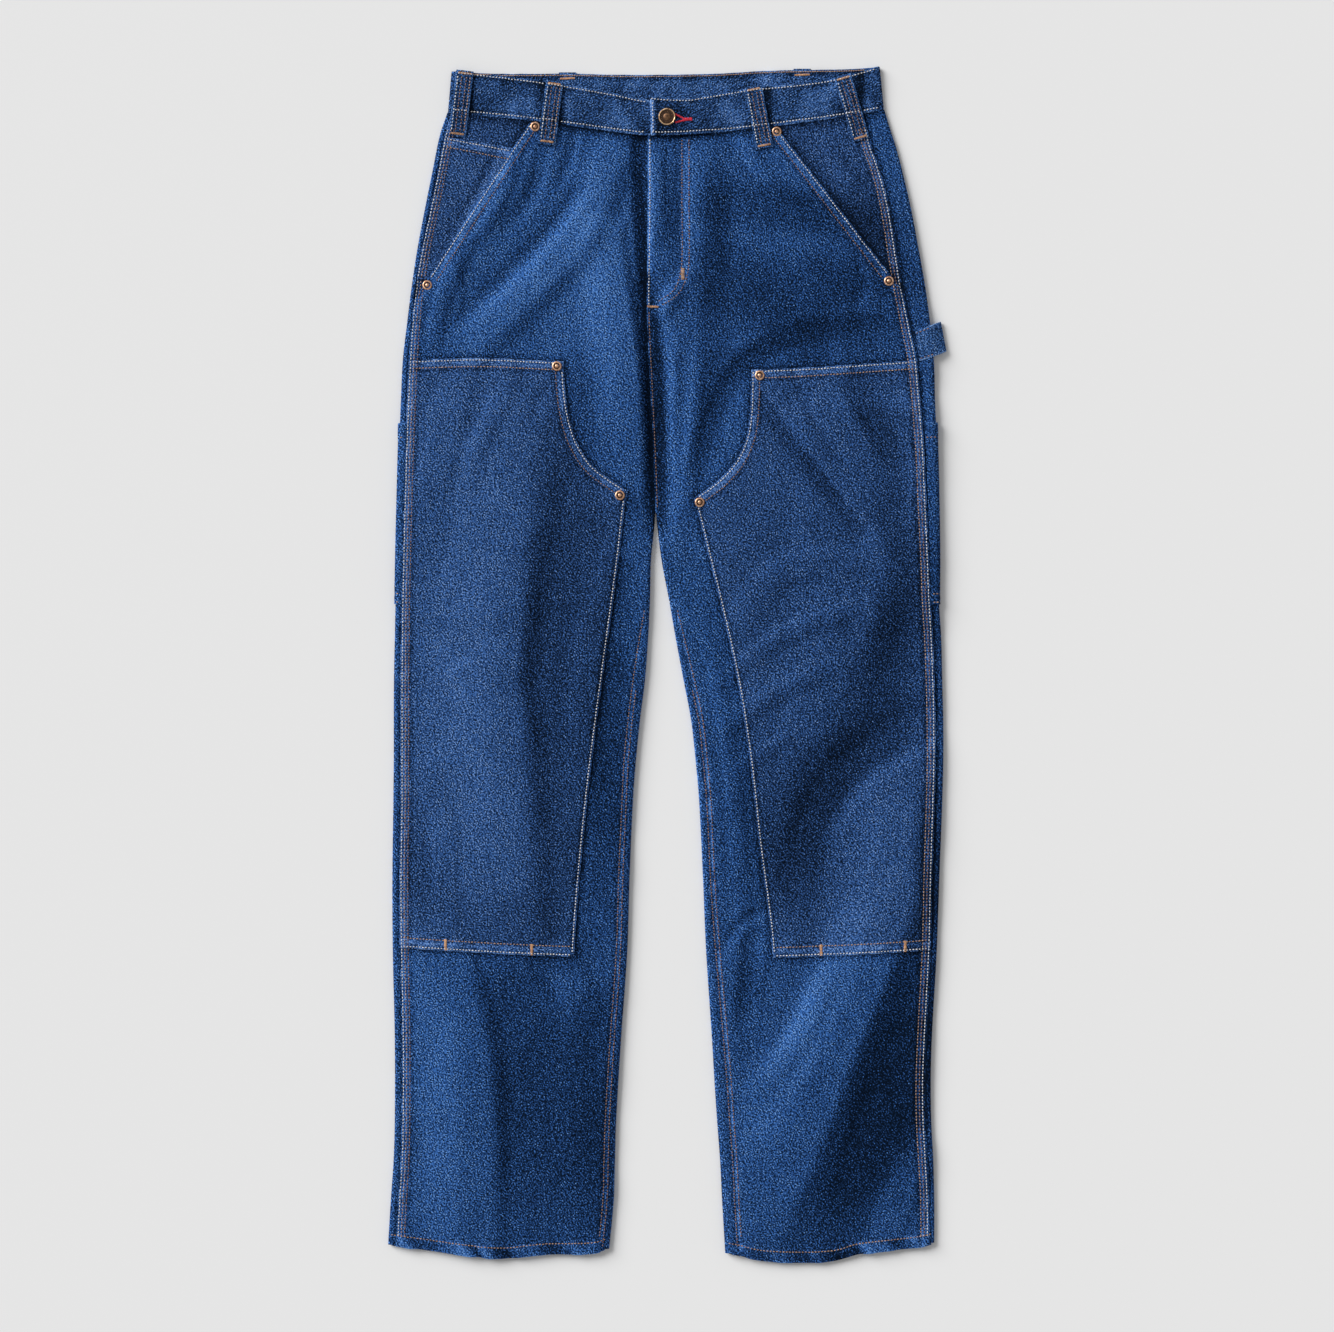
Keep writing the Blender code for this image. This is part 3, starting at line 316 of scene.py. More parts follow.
# Pieces of cloth: flat cut in metres and its area, how it is held, and what it lies on
Cut = namedtuple("Cut", "wide long area held rests")
CUTS = {
    "front_right": Cut(0.27, 1.14, 0.240, "laid", ("back_right",)),
    "front_left": Cut(0.28, 1.14, 0.247, "laid", ("back_left",)),
    "back_right": Cut(0.31, 1.15, 0.277, "folded", ("floor",)),
    "back_left": Cut(0.33, 1.15, 0.300, "folded", ("floor",)),
    "pocket_facing_right": Cut(0.125, 0.175, 0.0115, "laid", ("back_right",)),
    "pocket_facing_left": Cut(0.125, 0.165, 0.0112, "laid", ("back_left",)),
    "coin_pocket": Cut(0.08, 0.145, 0.0059, "laid", ("pocket_facing_right",)),
    "knee_patch_right": Cut(0.225, 0.595, 0.112, "laid", ("front_right",)),
    "knee_patch_left": Cut(0.235, 0.595, 0.114, "laid", ("front_left",)),
    "tool_pocket_right": Cut(0.135, 0.185, 0.0240, "folded", ("back_right",)),
    "tool_pocket_left": Cut(0.135, 0.185, 0.0240, "folded", ("back_left",)),
    "waistband": Cut(0.93, 0.0405, 0.0374, "folded", ("front_left", "front_right")),
    "hammer_loop": Cut(0.115, 0.031, 0.0035, "folded", ("tool_pocket_left",)),
    "belt_loop": Cut(0.017, 0.067, 0.00113, "laid", ("waistband",)),
    "belt_loop_back": Cut(0.017, 0.041, 0.00066, "laid", ("floor",)),
}

# Threads: pitch, length and width of a stitch, in millimetres
Thread = namedtuple("Thread", "pitch length width")
TAN = Thread(3.2, 2.4, 1.0)
PALE = Thread(3.1, 2.1, 1.1)
BAR = Thread(0.75, 2.6, 0.8)
CLOSE = Thread(2.4, 2.6, 1.0)

# Depths of hems and rows, and sizes of the band, the loop and the meshes
HEM_DEEP = 12.0
FOOT_ROW = 10.0
POCKET_HEM = 14.5
BAND_TALL, BAND_PITCH, BAND_STEP = 38.4, 3.2, 3.4
HAMMER_WIDE = 30.0
FLOOR_HALF = 4.0
END_RUN = 6.0
SIDE_ANGLES = np.pi * np.linspace(0, 1, 12)
FRONT_COLUMNS, PATCH_COLUMNS, POCKET_COLUMNS, BACK_COLUMNS = 56, 44, 26, 30

# Places of the button, the small pocket's top, the bars and rows of sewing, and the rivets
BUTTON_PLACE = (667.0, 118.5)
COIN_TOP = ((445.0, 138.0), (513.0, 150.0))
PATCH_BARS = ((446, 944), (532, 949), (820.6, 949.4), (904.3, 945.3))
BACK_LOOP_BARS = (79.4, 75.8)
HAMMER_SEWING = ((((914.8, 332.5), (929.0, 326.8)), 2.0), (((919.0, 361.5), (933.5, 357.0)), -2.0))
BUTTONHOLE = (
    ((675.0, 115.6), (684.5, 120.4), 2.3), ((675.0, 124.0), (684.5, 121.6), 2.3),
    ((683.0, 121.0), (692.2, 120.5), 4.0),
)
FLY_SEWING = ((689.0, 140.0), (689.0, 200.0), (689.0, 262.0), (686.0, 280.0), (677.0, 296.0), (662.0, 306.5))
Rivet = namedtuple("Rivet", "name across down")
RIVETS = (
    Rivet("rivet_mouth_top_right", 535.4, 127.6), Rivet("rivet_mouth_foot_right", 427.8, 286.0),
    Rivet("rivet_mouth_top_left", 776.5, 132.6), Rivet("rivet_mouth_foot_left", 888.4, 281.8),
    Rivet("rivet_patch_top_right", 557.0, 366.8), Rivet("rivet_patch_corner_right", 620.0, 495.7),
    Rivet("rivet_patch_corner_left", 699.6, 502.7), Rivet("rivet_patch_top_left", 759.4, 376.0),
)

# Drawn tones of the cloth, partly fading and partly painted light and shade of the folds: paler above 0, darker
# below
FADE_AND_PAINTED_SHADE_STROKES = (
    Fold(((612, 154), (594, 202), (566, 252), (522, 296), (473, 340)), 21, 24, 0.38),
    Fold(((580, 182), (544, 228), (504, 264), (460, 310)), 11, 8, -0.06),
    Fold(((516, 162), (484, 226), (456, 290)), 24, 27, 0.12),
    Fold(((452, 194), (436, 250)), 21, 21, -0.12),
    Fold(((604, 234), (572, 306), (540, 346)), 24, 48, 0.20),
    Fold(((618, 234), (629, 314), (638, 394), (640, 474)), 61, 8, 0.24),
    Fold(((638, 134), (641, 210), (645, 290)), 7, 7, -0.70),
    Fold(((646, 282), (654, 370), (657, 450), (657, 527)), 9, 15, -0.95),
    Fold(((656, 154), (657, 234)), 10, 10, 0.16),
    Fold(((674, 170), (673, 258)), 10, 10, -0.26),
    Fold(((693, 154), (693, 290)), 6, 8, 0.22),
    Fold(((658, 316), (687, 276)), 10, 11, 0.22),
    Fold(((710, 178), (708, 274), (702, 354), (697, 434)), 8, 35, -0.22),
    Fold(((716, 206), (796, 210), (892, 238)), 32, 32, -0.40),
    Fold(((724, 278), (796, 298), (892, 290)), 64, 61, -0.46),
    Fold(((764, 262), (804, 286), (828, 310)), 29, 29, 0.14),
    Fold(((884, 327), (796, 336), (740, 368), (712, 420), (698, 471)), 15, 22, -0.32),
    Fold(((722, 362), (800, 352), (896, 352)), 26, 18, -0.20),
    Fold(((860, 194), (892, 290)), 32, 32, -0.22),
    Fold(((756, 396), (804, 460), (860, 532)), 8, 13, -0.30),
    Fold(((860, 394), (900, 466)), 27, 35, -0.26),
    Fold(((844, 402), (812, 610), (828, 738)), 104, 96, -0.16),
    Fold(((892, 522), (897, 578), (874, 658), (844, 714)), 24, 80, -0.40),
    Fold(((914, 724), (860, 758), (817, 810), (804, 890)), 56, 32, -0.40),
    Fold(((796, 770), (812, 922)), 72, 88, -0.22),
    Fold(((892, 818), (860, 914), (812, 1018), (754, 1122)), 37, 37, 0.22),
    Fold(((932, 898), (889, 1002), (849, 1106), (801, 1226)), 18, 96, -0.52),
    Fold(((892, 1050), (852, 1162), (828, 1234)), 24, 80, -0.44),
    Fold(((932, 994), (921, 1090), (892, 1154)), 48, 32, -0.34),
    Fold(((892, 1202), (868, 1250)), 16, 24, 0.14),
    Fold(((756, 938), (742, 1042)), 19, 24, -0.30),
    Fold(((932, 794), (932, 914)), 27, 16, -0.40),
    Fold(((748, 738), (756, 898)), 32, 32, -0.16),
    Fold(((712, 610), (724, 770), (732, 930)), 24, 16, -0.12),
    Fold(((500, 450), (472, 562), (463, 658), (470, 746), (484, 850), (492, 922)), 72, 61, 0.20),
    Fold(((561, 410), (544, 562), (537, 674), (545, 770), (550, 922)), 24, 112, -0.36),
    Fold(((620, 570), (612, 690), (607, 898)), 24, 21, -0.26),
    Fold(((454, 394), (438, 498)), 26, 26, 0.12),
    Fold(((412, 834), (428, 922)), 24, 40, -0.16),
    Fold(((430, 954), (444, 1066), (446, 1242)), 48, 27, 0.18),
    Fold(((479, 958), (505, 1078), (508, 1242)), 14, 144, -0.44),
    Fold(((560, 1018), (584, 962)), 32, 24, 0.12),
    Fold(((602, 1002), (601, 1242)), 40, 24, -0.30),
)
# Strength of the painted light and shade from each slope's lean towards the sun
PAINTED_SLOPE_LIGHT_AND_SHADE = 0.9

# The sun's energy and, in degrees, its spread, rise and turn; the world; the camera
KEY_ENERGY, KEY_SPREAD, KEY_RISE, KEY_TURN = 4.2, 36, 27, 146
WORLD_STRENGTH = 0.40
SENSOR, CAMERA_HIGH, FRAME_WIDE = 36.0, 3.2, 1.334

# Creases of the hidden back
BACK_FOLDS = (
    Fold(((566, 428), (520, 452), (478, 470)), 18, 14, 1.2), Fold(((604, 478), (540, 510), (472, 560)), 16, 20, 1.1),
    Fold(((736, 428), (790, 446), (852, 470)), 14, 18, 1.2), Fold(((706, 488), (780, 512), (862, 562)), 20, 16, 1.1),
    Fold(((604, 698), (530, 712), (440, 745)), 16, 12, 1.2), Fold(((592, 762), (510, 786), (420, 790)), 14, 18, 1.0),
    Fold(((718, 718), (800, 730), (890, 760)), 12, 16, 1.2), Fold(((718, 792), (810, 806), (900, 803)), 18, 14, 1.0),
    Fold(((500, 850), (514, 1000), (522, 1180)), 22, 26, 0.9),
    Fold(((800, 850), (804, 1020), (822, 1200)), 26, 22, 0.9),
    Fold(((562, 178), (548, 270), (518, 362)), 26, 20, 0.8), Fold(((758, 178), (774, 270), (802, 362)), 20, 26, 0.8),
)


def smooth_read(points, at):
    """Reads a table of (place, value) pairs along a smooth curve, for one or many places."""
    xs = np.array([point[0] for point in points], float)
    ys = np.array([point[1] for point in points], float)
    at = np.clip(np.asarray(at, float), xs[0], xs[-1])
    index = np.clip(np.searchsorted(xs, at, side="right") - 1, 0, len(xs) - 2)
    slopes = np.diff(ys) / np.diff(xs)
    middle = (ys[2:] - ys[:-2]) / (xs[2:] - xs[:-2])
    tangents = np.concatenate([slopes[:1], middle, slopes[-1:]])
    step = xs[index + 1] - xs[index]
    t = (at - xs[index]) / step
    ease = t * t * (3 - 2 * t)
    return (
        ys[index] + (ys[index + 1] - ys[index]) * ease
        + step * tangents[index] * (t - 2 * t ** 2 + t ** 3)
        + step * tangents[index + 1] * (t ** 3 - t ** 2)
    )


def ramp(low, high, at):
    t = np.clip((np.asarray(at, float) - low) / (high - low), 0, 1)
    return t * t * (3 - 2 * t)


def bell(from_middle, reach):
    """1 at a line, fading softly with the distance from it."""
    return np.exp(-(from_middle / reach) ** 2)


def soft_noise(seed, x, y):
    """Smooth noise from -1 to 1 with one bump for each unit of x and y."""
    rng = np.random.default_rng(seed)
    table = rng.uniform(-1, 1, (64, 64))
    x, y = np.broadcast_arrays(np.asarray(x, float), np.asarray(y, float))
    i, j = np.floor(x).astype(int), np.floor(y).astype(int)
    u, v = x - i, y - j
    u, v = u * u * (3 - 2 * u), v * v * (3 - 2 * v)
    corner = lambda a, b: table[(i + a) % 64, (j + b) % 64]
    near = corner(0, 0) * (1 - u) + corner(1, 0) * u
    far = corner(0, 1) * (1 - u) + corner(1, 1) * u
    return near * (1 - v) + far * v


def curve_through(points, steps=4):
    """A smooth curve through given points."""
    path = np.array(points, float)
    path = np.vstack([2 * path[0] - path[1], path, 2 * path[-1] - path[-2]])
    t = np.linspace(0, 1, steps, endpoint=False)[:, None]
    parts = [
        b + 0.5 * ((c - a) * t + (2 * a - 5 * b + 4 * c - d) * t**2 + (3 * b - a - 3 * c + d) * t**3)
        for a, b, c, d in zip(path, path[1:], path[2:], path[3:])
    ]
    return np.vstack(parts + [path[-2:-1]])


def strokes(table, across, down):
    """The sum of a table's drawn lines at each place, each fading to its two sides and ends."""
    across, down = np.broadcast_arrays(np.asarray(across, float), np.asarray(down, float))
    total = np.zeros(across.shape)
    for fold in table:
        path = curve_through(fold.points)
        widest = max(fold.lit, fold.shade)
        (low_x, low_y), (high_x, high_y) = path.min(0) - widest, path.max(0) + widest
        near = (across > low_x) & (across < high_x) & (down > low_y) & (down < high_y)
        if not near.any():
            continue
        x, y = across[near], down[near]
        best, lean, share = np.full(x.shape, np.inf), np.zeros(x.shape), np.zeros(x.shape)
        lengths = np.hypot(*np.diff(path, axis=0).T)
        before = 0.0
        for start, end, length in zip(path, path[1:], lengths):
            run = (end - start) / length
            t = np.clip((x - start[0]) * run[0] + (y - start[1]) * run[1], 0, length)
            off_x, off_y = x - start[0] - t * run[0], y - start[1] - t * run[1]
            gap = np.hypot(off_x, off_y) + 1e-9
            nearer = gap < best
            best = np.where(nearer, gap, best)
            lean = np.where(nearer, (off_y * run[0] - off_x * run[1]) / gap, lean)
            share = np.where(nearer, (before + t) / lengths.sum(), share)
            before += length
        reach = fold.shade + (fold.lit - fold.shade) * (0.5 + 0.5 * lean)
        bell = ramp(0, 1, 1.35 * (1 - best / reach))
        total[near] += fold.amount * bell * (0.45 + 0.55 * np.sin(np.pi * share))
    return total


def fold_rise(across, down):
    """The rise of the drawn folds at each place."""
    return strokes(FOLDS, across, down)


def ripple(across, down):
    """Small unevenness of worn-in denim, a few tenths of a millimetre."""
    wide = soft_noise(11, across / 46 + down / 160, down / 74)
    slant = soft_noise(13, across / 30 - down / 44, down / 38 + across / 90)
    fine = soft_noise(12, across / 15, down / 22 + across / 50)
    return (0.50 * wide + 0.42 * slant + 0.20 * fine) * (0.35 + 0.65 * ramp(128, 170, down))


def zone_lift(across, down):
    """How much the back is lifted by a pocket or loop that lies under it."""
    most = np.zeros(np.broadcast(across, down).shape)
    for zone in UNDER_ZONES:
        beside = np.maximum(np.maximum(zone.left - across, across - zone.right), 0)
        beyond = np.maximum(np.maximum(zone.top - down, down - zone.bottom), 0)
        most = np.maximum(most, 1 - ramp(0, ZONE_SLOPE, np.hypot(beside, beyond)))
    return STEP_UP * most


def back_height(across, down):
    return CLOTH / 2 + zone_lift(across, down)


def top_height(across, down):
    """Mid-cloth height of the upper layer before any step over a seam."""
    rise = fold_rise(across, down) * FOLD_GAIN
    mean = AIR_MEAN + AIR_MORE * ramp(130, 210, down)
    drop = mean - AIR_LEAST
    air = mean + np.where(rise > 0, rise, drop * np.tanh(rise / drop))
    return back_height(across, down) + CLOTH + air + ripple(across, down)


class Leg:
    """One half of the garment; outward is -1 on the wearer's right and 1 on the left."""

    def __init__(self, side, outward, edges, lines, patch_edge, patch_side, corner_row, mouth, mouth_row):
        self.side, self.outward, self.lines = side, outward, lines
        self.patch_edge, self.patch_side, self.corner_row = patch_edge, patch_side, corner_row
        self.mouth, self.mouth_row = mouth, mouth_row
        self.columns = {
            name: tuple((edge.down, getattr(edge, name)) for edge in edges)
            for name in ("outer_edge", "outer_seam", "inner_edge", "seam_in")
        }

    def read(self, name, down):
        return smooth_read(self.columns[name], down)

    def line_down(self, across, nominal):
        """The down of a row's line at places across the top layer."""
        across, nominal = np.broadcast_arrays(np.asarray(across, float), np.asarray(nominal, float))
        curves = np.stack([smooth_read(line, across) for line in self.lines])
        index = np.clip(np.searchsorted(LINE_DOWNS, nominal, side="right") - 1, 0, len(LINE_DOWNS) - 2)
        starts = np.array(LINE_DOWNS)
        share = (nominal - starts[index]) / (starts[index + 1] - starts[index])
        upper = np.take_along_axis(curves, index[None], 0)[0]
        lower = np.take_along_axis(curves, index[None] + 1, 0)[0]
        return upper + (lower - upper) * share

    def meet(self, nominal, across_at):
        """Where rows' lines cross an edge given as across_at(down)."""
        down = np.asarray(nominal, float)
        for _ in range(8):
            across = across_at(down)
            down = self.line_down(across, nominal)
        return across, down

    def seam_on(self, nominal):
        """Across of the outseam on each row."""
        return self.meet(nominal, lambda at: self.read("outer_seam", at))[0]

    def mouth_across(self, down):
        (x0, y0), (x1, y1) = self.mouth
        return x0 + (x1 - x0) * (down - y0) / (y1 - y0)

    def mouth_inward(self, across, down):
        """Distance from the mouth's edge towards the middle of the front."""
        (x0, y0), (x1, y1) = self.mouth
        length = math.hypot(x1 - x0, y1 - y0)
        return self.outward * ((across - x0) * (y0 - y1) + (down - y0) * (x1 - x0)) / length

    def mouth_step(self, across, down):
        inward = self.mouth_inward(across, down)
        foot = self.mouth[1][1]
        fade = (1 - ramp(FACING_UNDER + 4, FACING_UNDER + 34, inward)) * (1 - ramp(foot + 12, foot + 44, down))
        return MOUTH_STEP * fade * ramp(1.0, 9.0, np.abs(across - self.read("outer_seam", down)))

    def front_height(self, across, down):
        height = top_height(across, down) + self.mouth_step(across, down)
        if self.outward > 0:
            from_edge = across - smooth_read(FRONT_MIDDLE, down)
            fade = 1 - ramp(FLY_STEP_REACH - 14, FLY_STEP_REACH + 6, from_edge)
            height = height + STEP_UP * fade * (1 - ramp(FLY_FOOT + 8, FLY_FOOT + 34, down))
        return height

    def curl(self, edge, seam, outward, down):
        """The rounded side of a leg: its tangent place, its radii and its middle height."""
        extreme = edge - outward * CLOTH / 2
        top = top_height(extreme - outward * CURL_EASE, down)
        bottom = back_height(extreme - outward * CURL_EASE, down)
        rise = (top - bottom) / 2
        room = np.maximum(np.abs(seam - edge) - CLOTH / 2 - CURL_EASE / 3, 1.6)
        reach = np.minimum(CURL_EASE / 3 + rise, room)
        return extreme - outward * reach, reach, rise, (top + bottom) / 2

    def side_points(self, side, down, angles):
        """Rows of points round a side, from angle 0 on top to pi underneath."""
        if side == "outer":
            edge, seam, outward = self.read("outer_edge", down), self.read("outer_seam", down), self.outward
        else:
            edge, outward = self.read("inner_edge", down), -self.outward
            seam = edge - outward * 20
        tangent, reach, rise, middle = self.curl(edge, seam, outward, down)
        angles = np.broadcast_to(angles, (len(down), np.shape(angles)[-1]))
        x = tangent[:, None] + outward * reach[:, None] * np.sin(angles)
        z = middle[:, None] + rise[:, None] * np.cos(angles)
        return np.stack([x, np.broadcast_to(down[:, None], x.shape), z], -1)

    def inseam(self, nominal, trim):
        """Angle (0 where it lies on top) and across of the inseam on each row."""
        down = self.meet(nominal, lambda at: self.read("inner_edge", at))[1]
        edge = self.read("inner_edge", down)
        inward = -self.outward
        tangent, reach, _, _ = self.curl(edge, edge - inward * 20, inward, down)
        place = self.read("seam_in", down) + trim - CLOTH / 2
        angle = np.where(place < reach, np.arcsin(np.clip(1 - place / reach, 0, 1)), 0.0)
        across = np.where(place < reach, tangent, edge - inward * (place + CLOTH / 2))
        return down, angle, across


def spread(rims, length, pitch):
    """Places from 0 to length with the two rims' distances at the ends and an even middle."""
    start, end = rims
    count = max(2, int(round((length - start[-1] - end[-1]) / pitch)))
    middle = np.linspace(start[-1], length - end[-1], count + 1)
    return np.concatenate([np.array(start[:-1]), middle, length - np.array(end[:-1][::-1])])


def rows_between(low, high, rims, pitch=PITCH, must=()):
    """Nominal downs between two rows, with rims at the ends and set rows in between."""
    places = low + spread(rims, high - low, pitch)
    for row in must:
        places[np.argmin(np.abs(places - row))] = row
    return places


def columns_across(start, end, rims, count):
    """For each row, places from start to end with rims in millimetres and an even middle."""
    start, end = start[:, None], end[:, None]
    way = np.sign(end - start)
    head = start + way * np.array(rims[0])[None, :]
    tail = end - way * np.array(rims[1][::-1])[None, :]
    share = np.linspace(0, 1, count + 2)[1:-1][None, :]
    middle = head[:, -1:] + (tail[:, :1] - head[:, -1:]) * share
    return np.concatenate([head, middle, tail], 1)


def put(points):
    """Layout places and heights in millimetres as points in metres."""
    points = np.asarray(points, float)
    return np.stack(
        [(points[..., 0] - CENTRE[0]) * MM, (CENTRE[1] - points[..., 1]) * MM, points[..., 2] * MM], -1
    )


def grid_normals(points):
    along = np.gradient(points, axis=1)
    down = np.gradient(points, axis=0)
    normals = np.cross(down, along)
    return normals / np.maximum(np.linalg.norm(normals, axis=-1, keepdims=True), 1e-12)


def link(mesh, name):
    piece = bpy.data.objects.new(name, mesh)
    bpy.context.scene.collection.objects.link(piece)
    return piece


def quads_mesh(name, vertices, faces):
    mesh = bpy.data.meshes.new(name)
    mesh.from_pydata(vertices.tolist(), [], faces)
    mesh.validate()
    mesh.shade_smooth()
    return mesh


def cloth_shell(name, points, outward, look, thickness=CLOTH, wear=None, fade=None):
    """A thin closed wall round a grid of mid-cloth points, with wear and fade on its points; the fade values also
    hold painted light and shade, and the wear values some painted shade.

    outward is 1 where the grid's own normals point out of the garment, and -1 where not.
    """
    metres = put(points)
    normals = grid_normals(metres) * outward
    rows, columns = points.shape[:2]
    half = thickness * MM / 2
    vertices = np.concatenate([
        (metres + normals * half).reshape(-1, 3),
        (metres - normals * half).reshape(-1, 3),
    ])
    index = np.arange(rows * columns).reshape(rows, columns)
    a, b, c, d = index[:-1, :-1], index[:-1, 1:], index[1:, 1:], index[1:, :-1]
    outer = np.stack([a, d, c, b] if outward > 0 else [a, b, c, d], -1).reshape(-1, 4)
    inner = outer[:, ::-1] + rows * columns
    rim = np.concatenate([index[0, :], index[1:, -1], index[-1, -2::-1], index[-2:0:-1, 0]])
    after = np.roll(rim, -1)
    order = [rim, after, after + rows * columns, rim + rows * columns]
    side = np.stack(order if outward > 0 else order[::-1], -1)
    faces = np.concatenate([outer, inner, side]).tolist()
    mesh = quads_mesh(name, vertices, faces)
    mesh.set_sharp_from_angle(angle=math.radians(62))
    count = rows * columns
    for label, values in (("wear", wear), ("fade", fade)):
        layer = mesh.attributes.new(label, "FLOAT", "POINT")
        flat = np.zeros(2 * count)
        if values is not None:
            flat[:count] = np.broadcast_to(values, (rows, columns)).reshape(-1)
            flat[count:] = flat[:count]
        layer.data.foreach_set("value", flat.astype(np.float32))
    piece = link(mesh, name)
    mesh.materials.append(look)
    return piece


def worn_edge(points, near, seed, rows_at=(ROW_NEAR,), strength=1.0, pale=0.6):
    """Rounds an edge down, sinks its rows of sewing and puckers it; returns a value that is paler at the edge and
    between the rows and darker just beyond the last row.
    """
    along = points[..., 0] / 9.5 + points[..., 1] / 8.0
    wave = soft_noise(seed, along, near / 14)
    reach = max(rows_at, default=1.0) + 4
    band = 1 - ramp(reach * 0.6, reach * 1.7, near)
    sunk = sum(0.42 * bell(near - row, 0.9) for row in rows_at)
    rolled = 0.5 * bell(near, 0.6)
    points[..., 2] += strength * (0.62 * wave * band - sunk - rolled)
    edge = bell(near, 0.9) * (0.7 + 0.6 * wave)
    wear = pale * (edge + 0.45 * np.clip(wave, 0, 1) * band)
    if len(rows_at) > 1:
        wear = wear + 0.55 * bell(near - np.mean(rows_at[:2]), 1.9) * (1 + 0.5 * wave)
    if len(rows_at) > 0:
        wear = wear - 0.5 * bell(near - max(rows_at) - 1.9, 1.6)
    return wear


def fade_and_painted_shade_at(across, down):
    """Fading of worn-in denim together with painted light and shade: drawn strokes along the folds, each slope's
    lean towards the sun, and a shadow below the waistband.
    """
    # painted light on slopes that face the upper-left sun, painted shade on slopes that face away
    step_x, step_y = 3.3, 2.2
    slope = (top_height(across + step_x, down + step_y) - top_height(across - step_x, down - step_y)) / 8.0
    # a painted shadow on the cloth just below the waistband
    band_shadow = bell(down - smooth_read(BAND_SEAM, across), 6)
    # strokes of fading and of painted light and shade along the folds
    drawn = np.clip(strokes(FADE_AND_PAINTED_SHADE_STROKES, across, down), -0.8, 0.6)
    return drawn + np.clip(PAINTED_SLOPE_LIGHT_AND_SHADE * slope, -0.3, 0.3) - 0.5 * band_shadow


def fly_under(down):
    """How far the right front runs on under the fly."""
    return FLY_UNDER * (1 - ramp(FLY_FOOT - 22, FLY_FOOT - 2, down))


def patch_edge(leg, down):
    """The inner edge of a knee patch at a down, and its slope."""
    upper = lambda at: smooth_read(leg.patch_edge, at)
    lower = lambda at: smooth_read(leg.patch_side, at)
    corner = leg.patch_edge[-1][0]
    place = np.where(down <= corner, upper(down), lower(down))
    slope = np.where(down <= corner, upper(down + 1) - upper(down - 1), lower(down + 1) - lower(down - 1)) / 2
    return place, slope


def hem_shape(leg, points, wear):
    """The doubled hem: a low step above its row of sewing, with the slanting ridges of a roped hem."""
    x, y = points[..., 0], points[..., 1]
    near = leg.line_down(x, HEM) - y
    inside = 1 - ramp(HEM_DEEP - 0.8, HEM_DEEP + 0.8, near)
    rope = soft_noise(31, (x + 0.8 * near) / 10.0, near / 30)
    sunk = 0.32 * bell(near - HEM_DEEP + 1.2, 0.8)
    points[..., 2] += inside * (0.6 + 0.75 * rope) - sunk - 0.5 * bell(near, 0.7)
    points[..., 1] += inside * 0.7 * rope
    wear += bell(near, 1.0) * (0.8 + 0.5 * rope) + 1.1 * inside * rope


def front_points(leg, nominals):
    """Mid-cloth points of a front panel, with wear and fade (fading with painted light and shade), a row for each
    line across it.
    """
    mouth_x = leg.meet(nominals, leg.mouth_across)[0]
    seam_x = leg.seam_on(nominals)
    open_row = leg.outward * (mouth_x - seam_x) < 0
    outer = np.where(open_row, mouth_x, seam_x - leg.outward * SEAM_GAP / 2)
    middle_x, middle_y = leg.meet(nominals, lambda at: smooth_read(FRONT_MIDDLE, at))
    middle_x = middle_x + SEAM_GAP / 2 * leg.outward
    if leg.outward < 0:
        middle_x = middle_x + fly_under(middle_y)
    inner_y, angle, across = leg.inseam(nominals, SEAM_GAP / 2)
    above = nominals < CROTCH
    on_top = above | (angle <= 0)
    end = np.where(above, middle_x, across)
    flat_end = np.where(on_top, end + leg.outward * END_RUN, end)
    flat = columns_across(outer, flat_end, (SEWN_RIM, (0.0,)), FRONT_COLUMNS)
    flat_y = leg.line_down(flat, nominals[:, None])
    body = np.stack([flat, flat_y, leg.front_height(flat, flat_y)], -1)
    shares = np.array([0.25, 0.5, 0.75, 0.9, 1.0])
    run = flat_end[:, None] - leg.outward * END_RUN * shares
    run_y = leg.line_down(run, nominals[:, None])
    tail = np.stack([run, run_y, leg.front_height(run, run_y)], -1)
    curled = leg.side_points("inner", inner_y, angle[:, None] * shares)
    tail = np.where(on_top[:, None, None], tail, curled)
    points = np.concatenate([body, tail], 1)
    x, y = points[..., 0], points[..., 1]
    from_seam = np.where(open_row[:, None], leg.mouth_inward(x, y), np.abs(x - outer[:, None]))
    wear = worn_edge(points, np.abs(from_seam), 21, (ROW_NEAR, ROW_FAR))
    from_end = np.where(on_top[:, None], np.abs(x - end[:, None]), 40.0)
    rows_at = (ROW_NEAR,) if leg.outward < 0 else ()
    wear += worn_edge(points, from_end, 22, rows_at, 0.8, 1.1 if leg.outward > 0 else 0.4)
    hem_shape(leg, points, wear)
    fade = fade_and_painted_shade_at(x, y) - painted_shadow_beside_patch(leg, x, y)
    # painted shadow along the waistband's lower edge
    fade = fade - 0.70 * bell(y - leg.line_down(x, BAND_LINE), 3.0)
    # painted shadow on the right front beside the overlapping fly edge
    if leg.outward < 0:
        from_fly = smooth_read(FRONT_MIDDLE, y) - x
        fade = fade - 0.75 * bell(np.maximum(from_fly, 0), 6.0) * (1 - ramp(500, 560, y))
    return points, wear, fade


def painted_shadow_beside_patch(leg, x, y):
    """A painted shadow: the darker line on the front just outside the knee patch's raised edge."""
    place, slope = patch_edge(leg, y)
    sideways = leg.outward * (place - x) / np.hypot(1, slope)
    above = leg.line_down(x, PATCH_TOP) - y
    below = y - leg.line_down(x, PATCH_FOOT)
    outside = np.maximum(np.maximum(sideways, above), below)
    return 0.6 * bell(np.maximum(outside, 0), 3.2)


def crease_under(across, down):
    """Creases of the back, lifted off the table where it is seen from behind."""
    return np.clip(strokes(BACK_FOLDS, across, down), 0, 1.3)


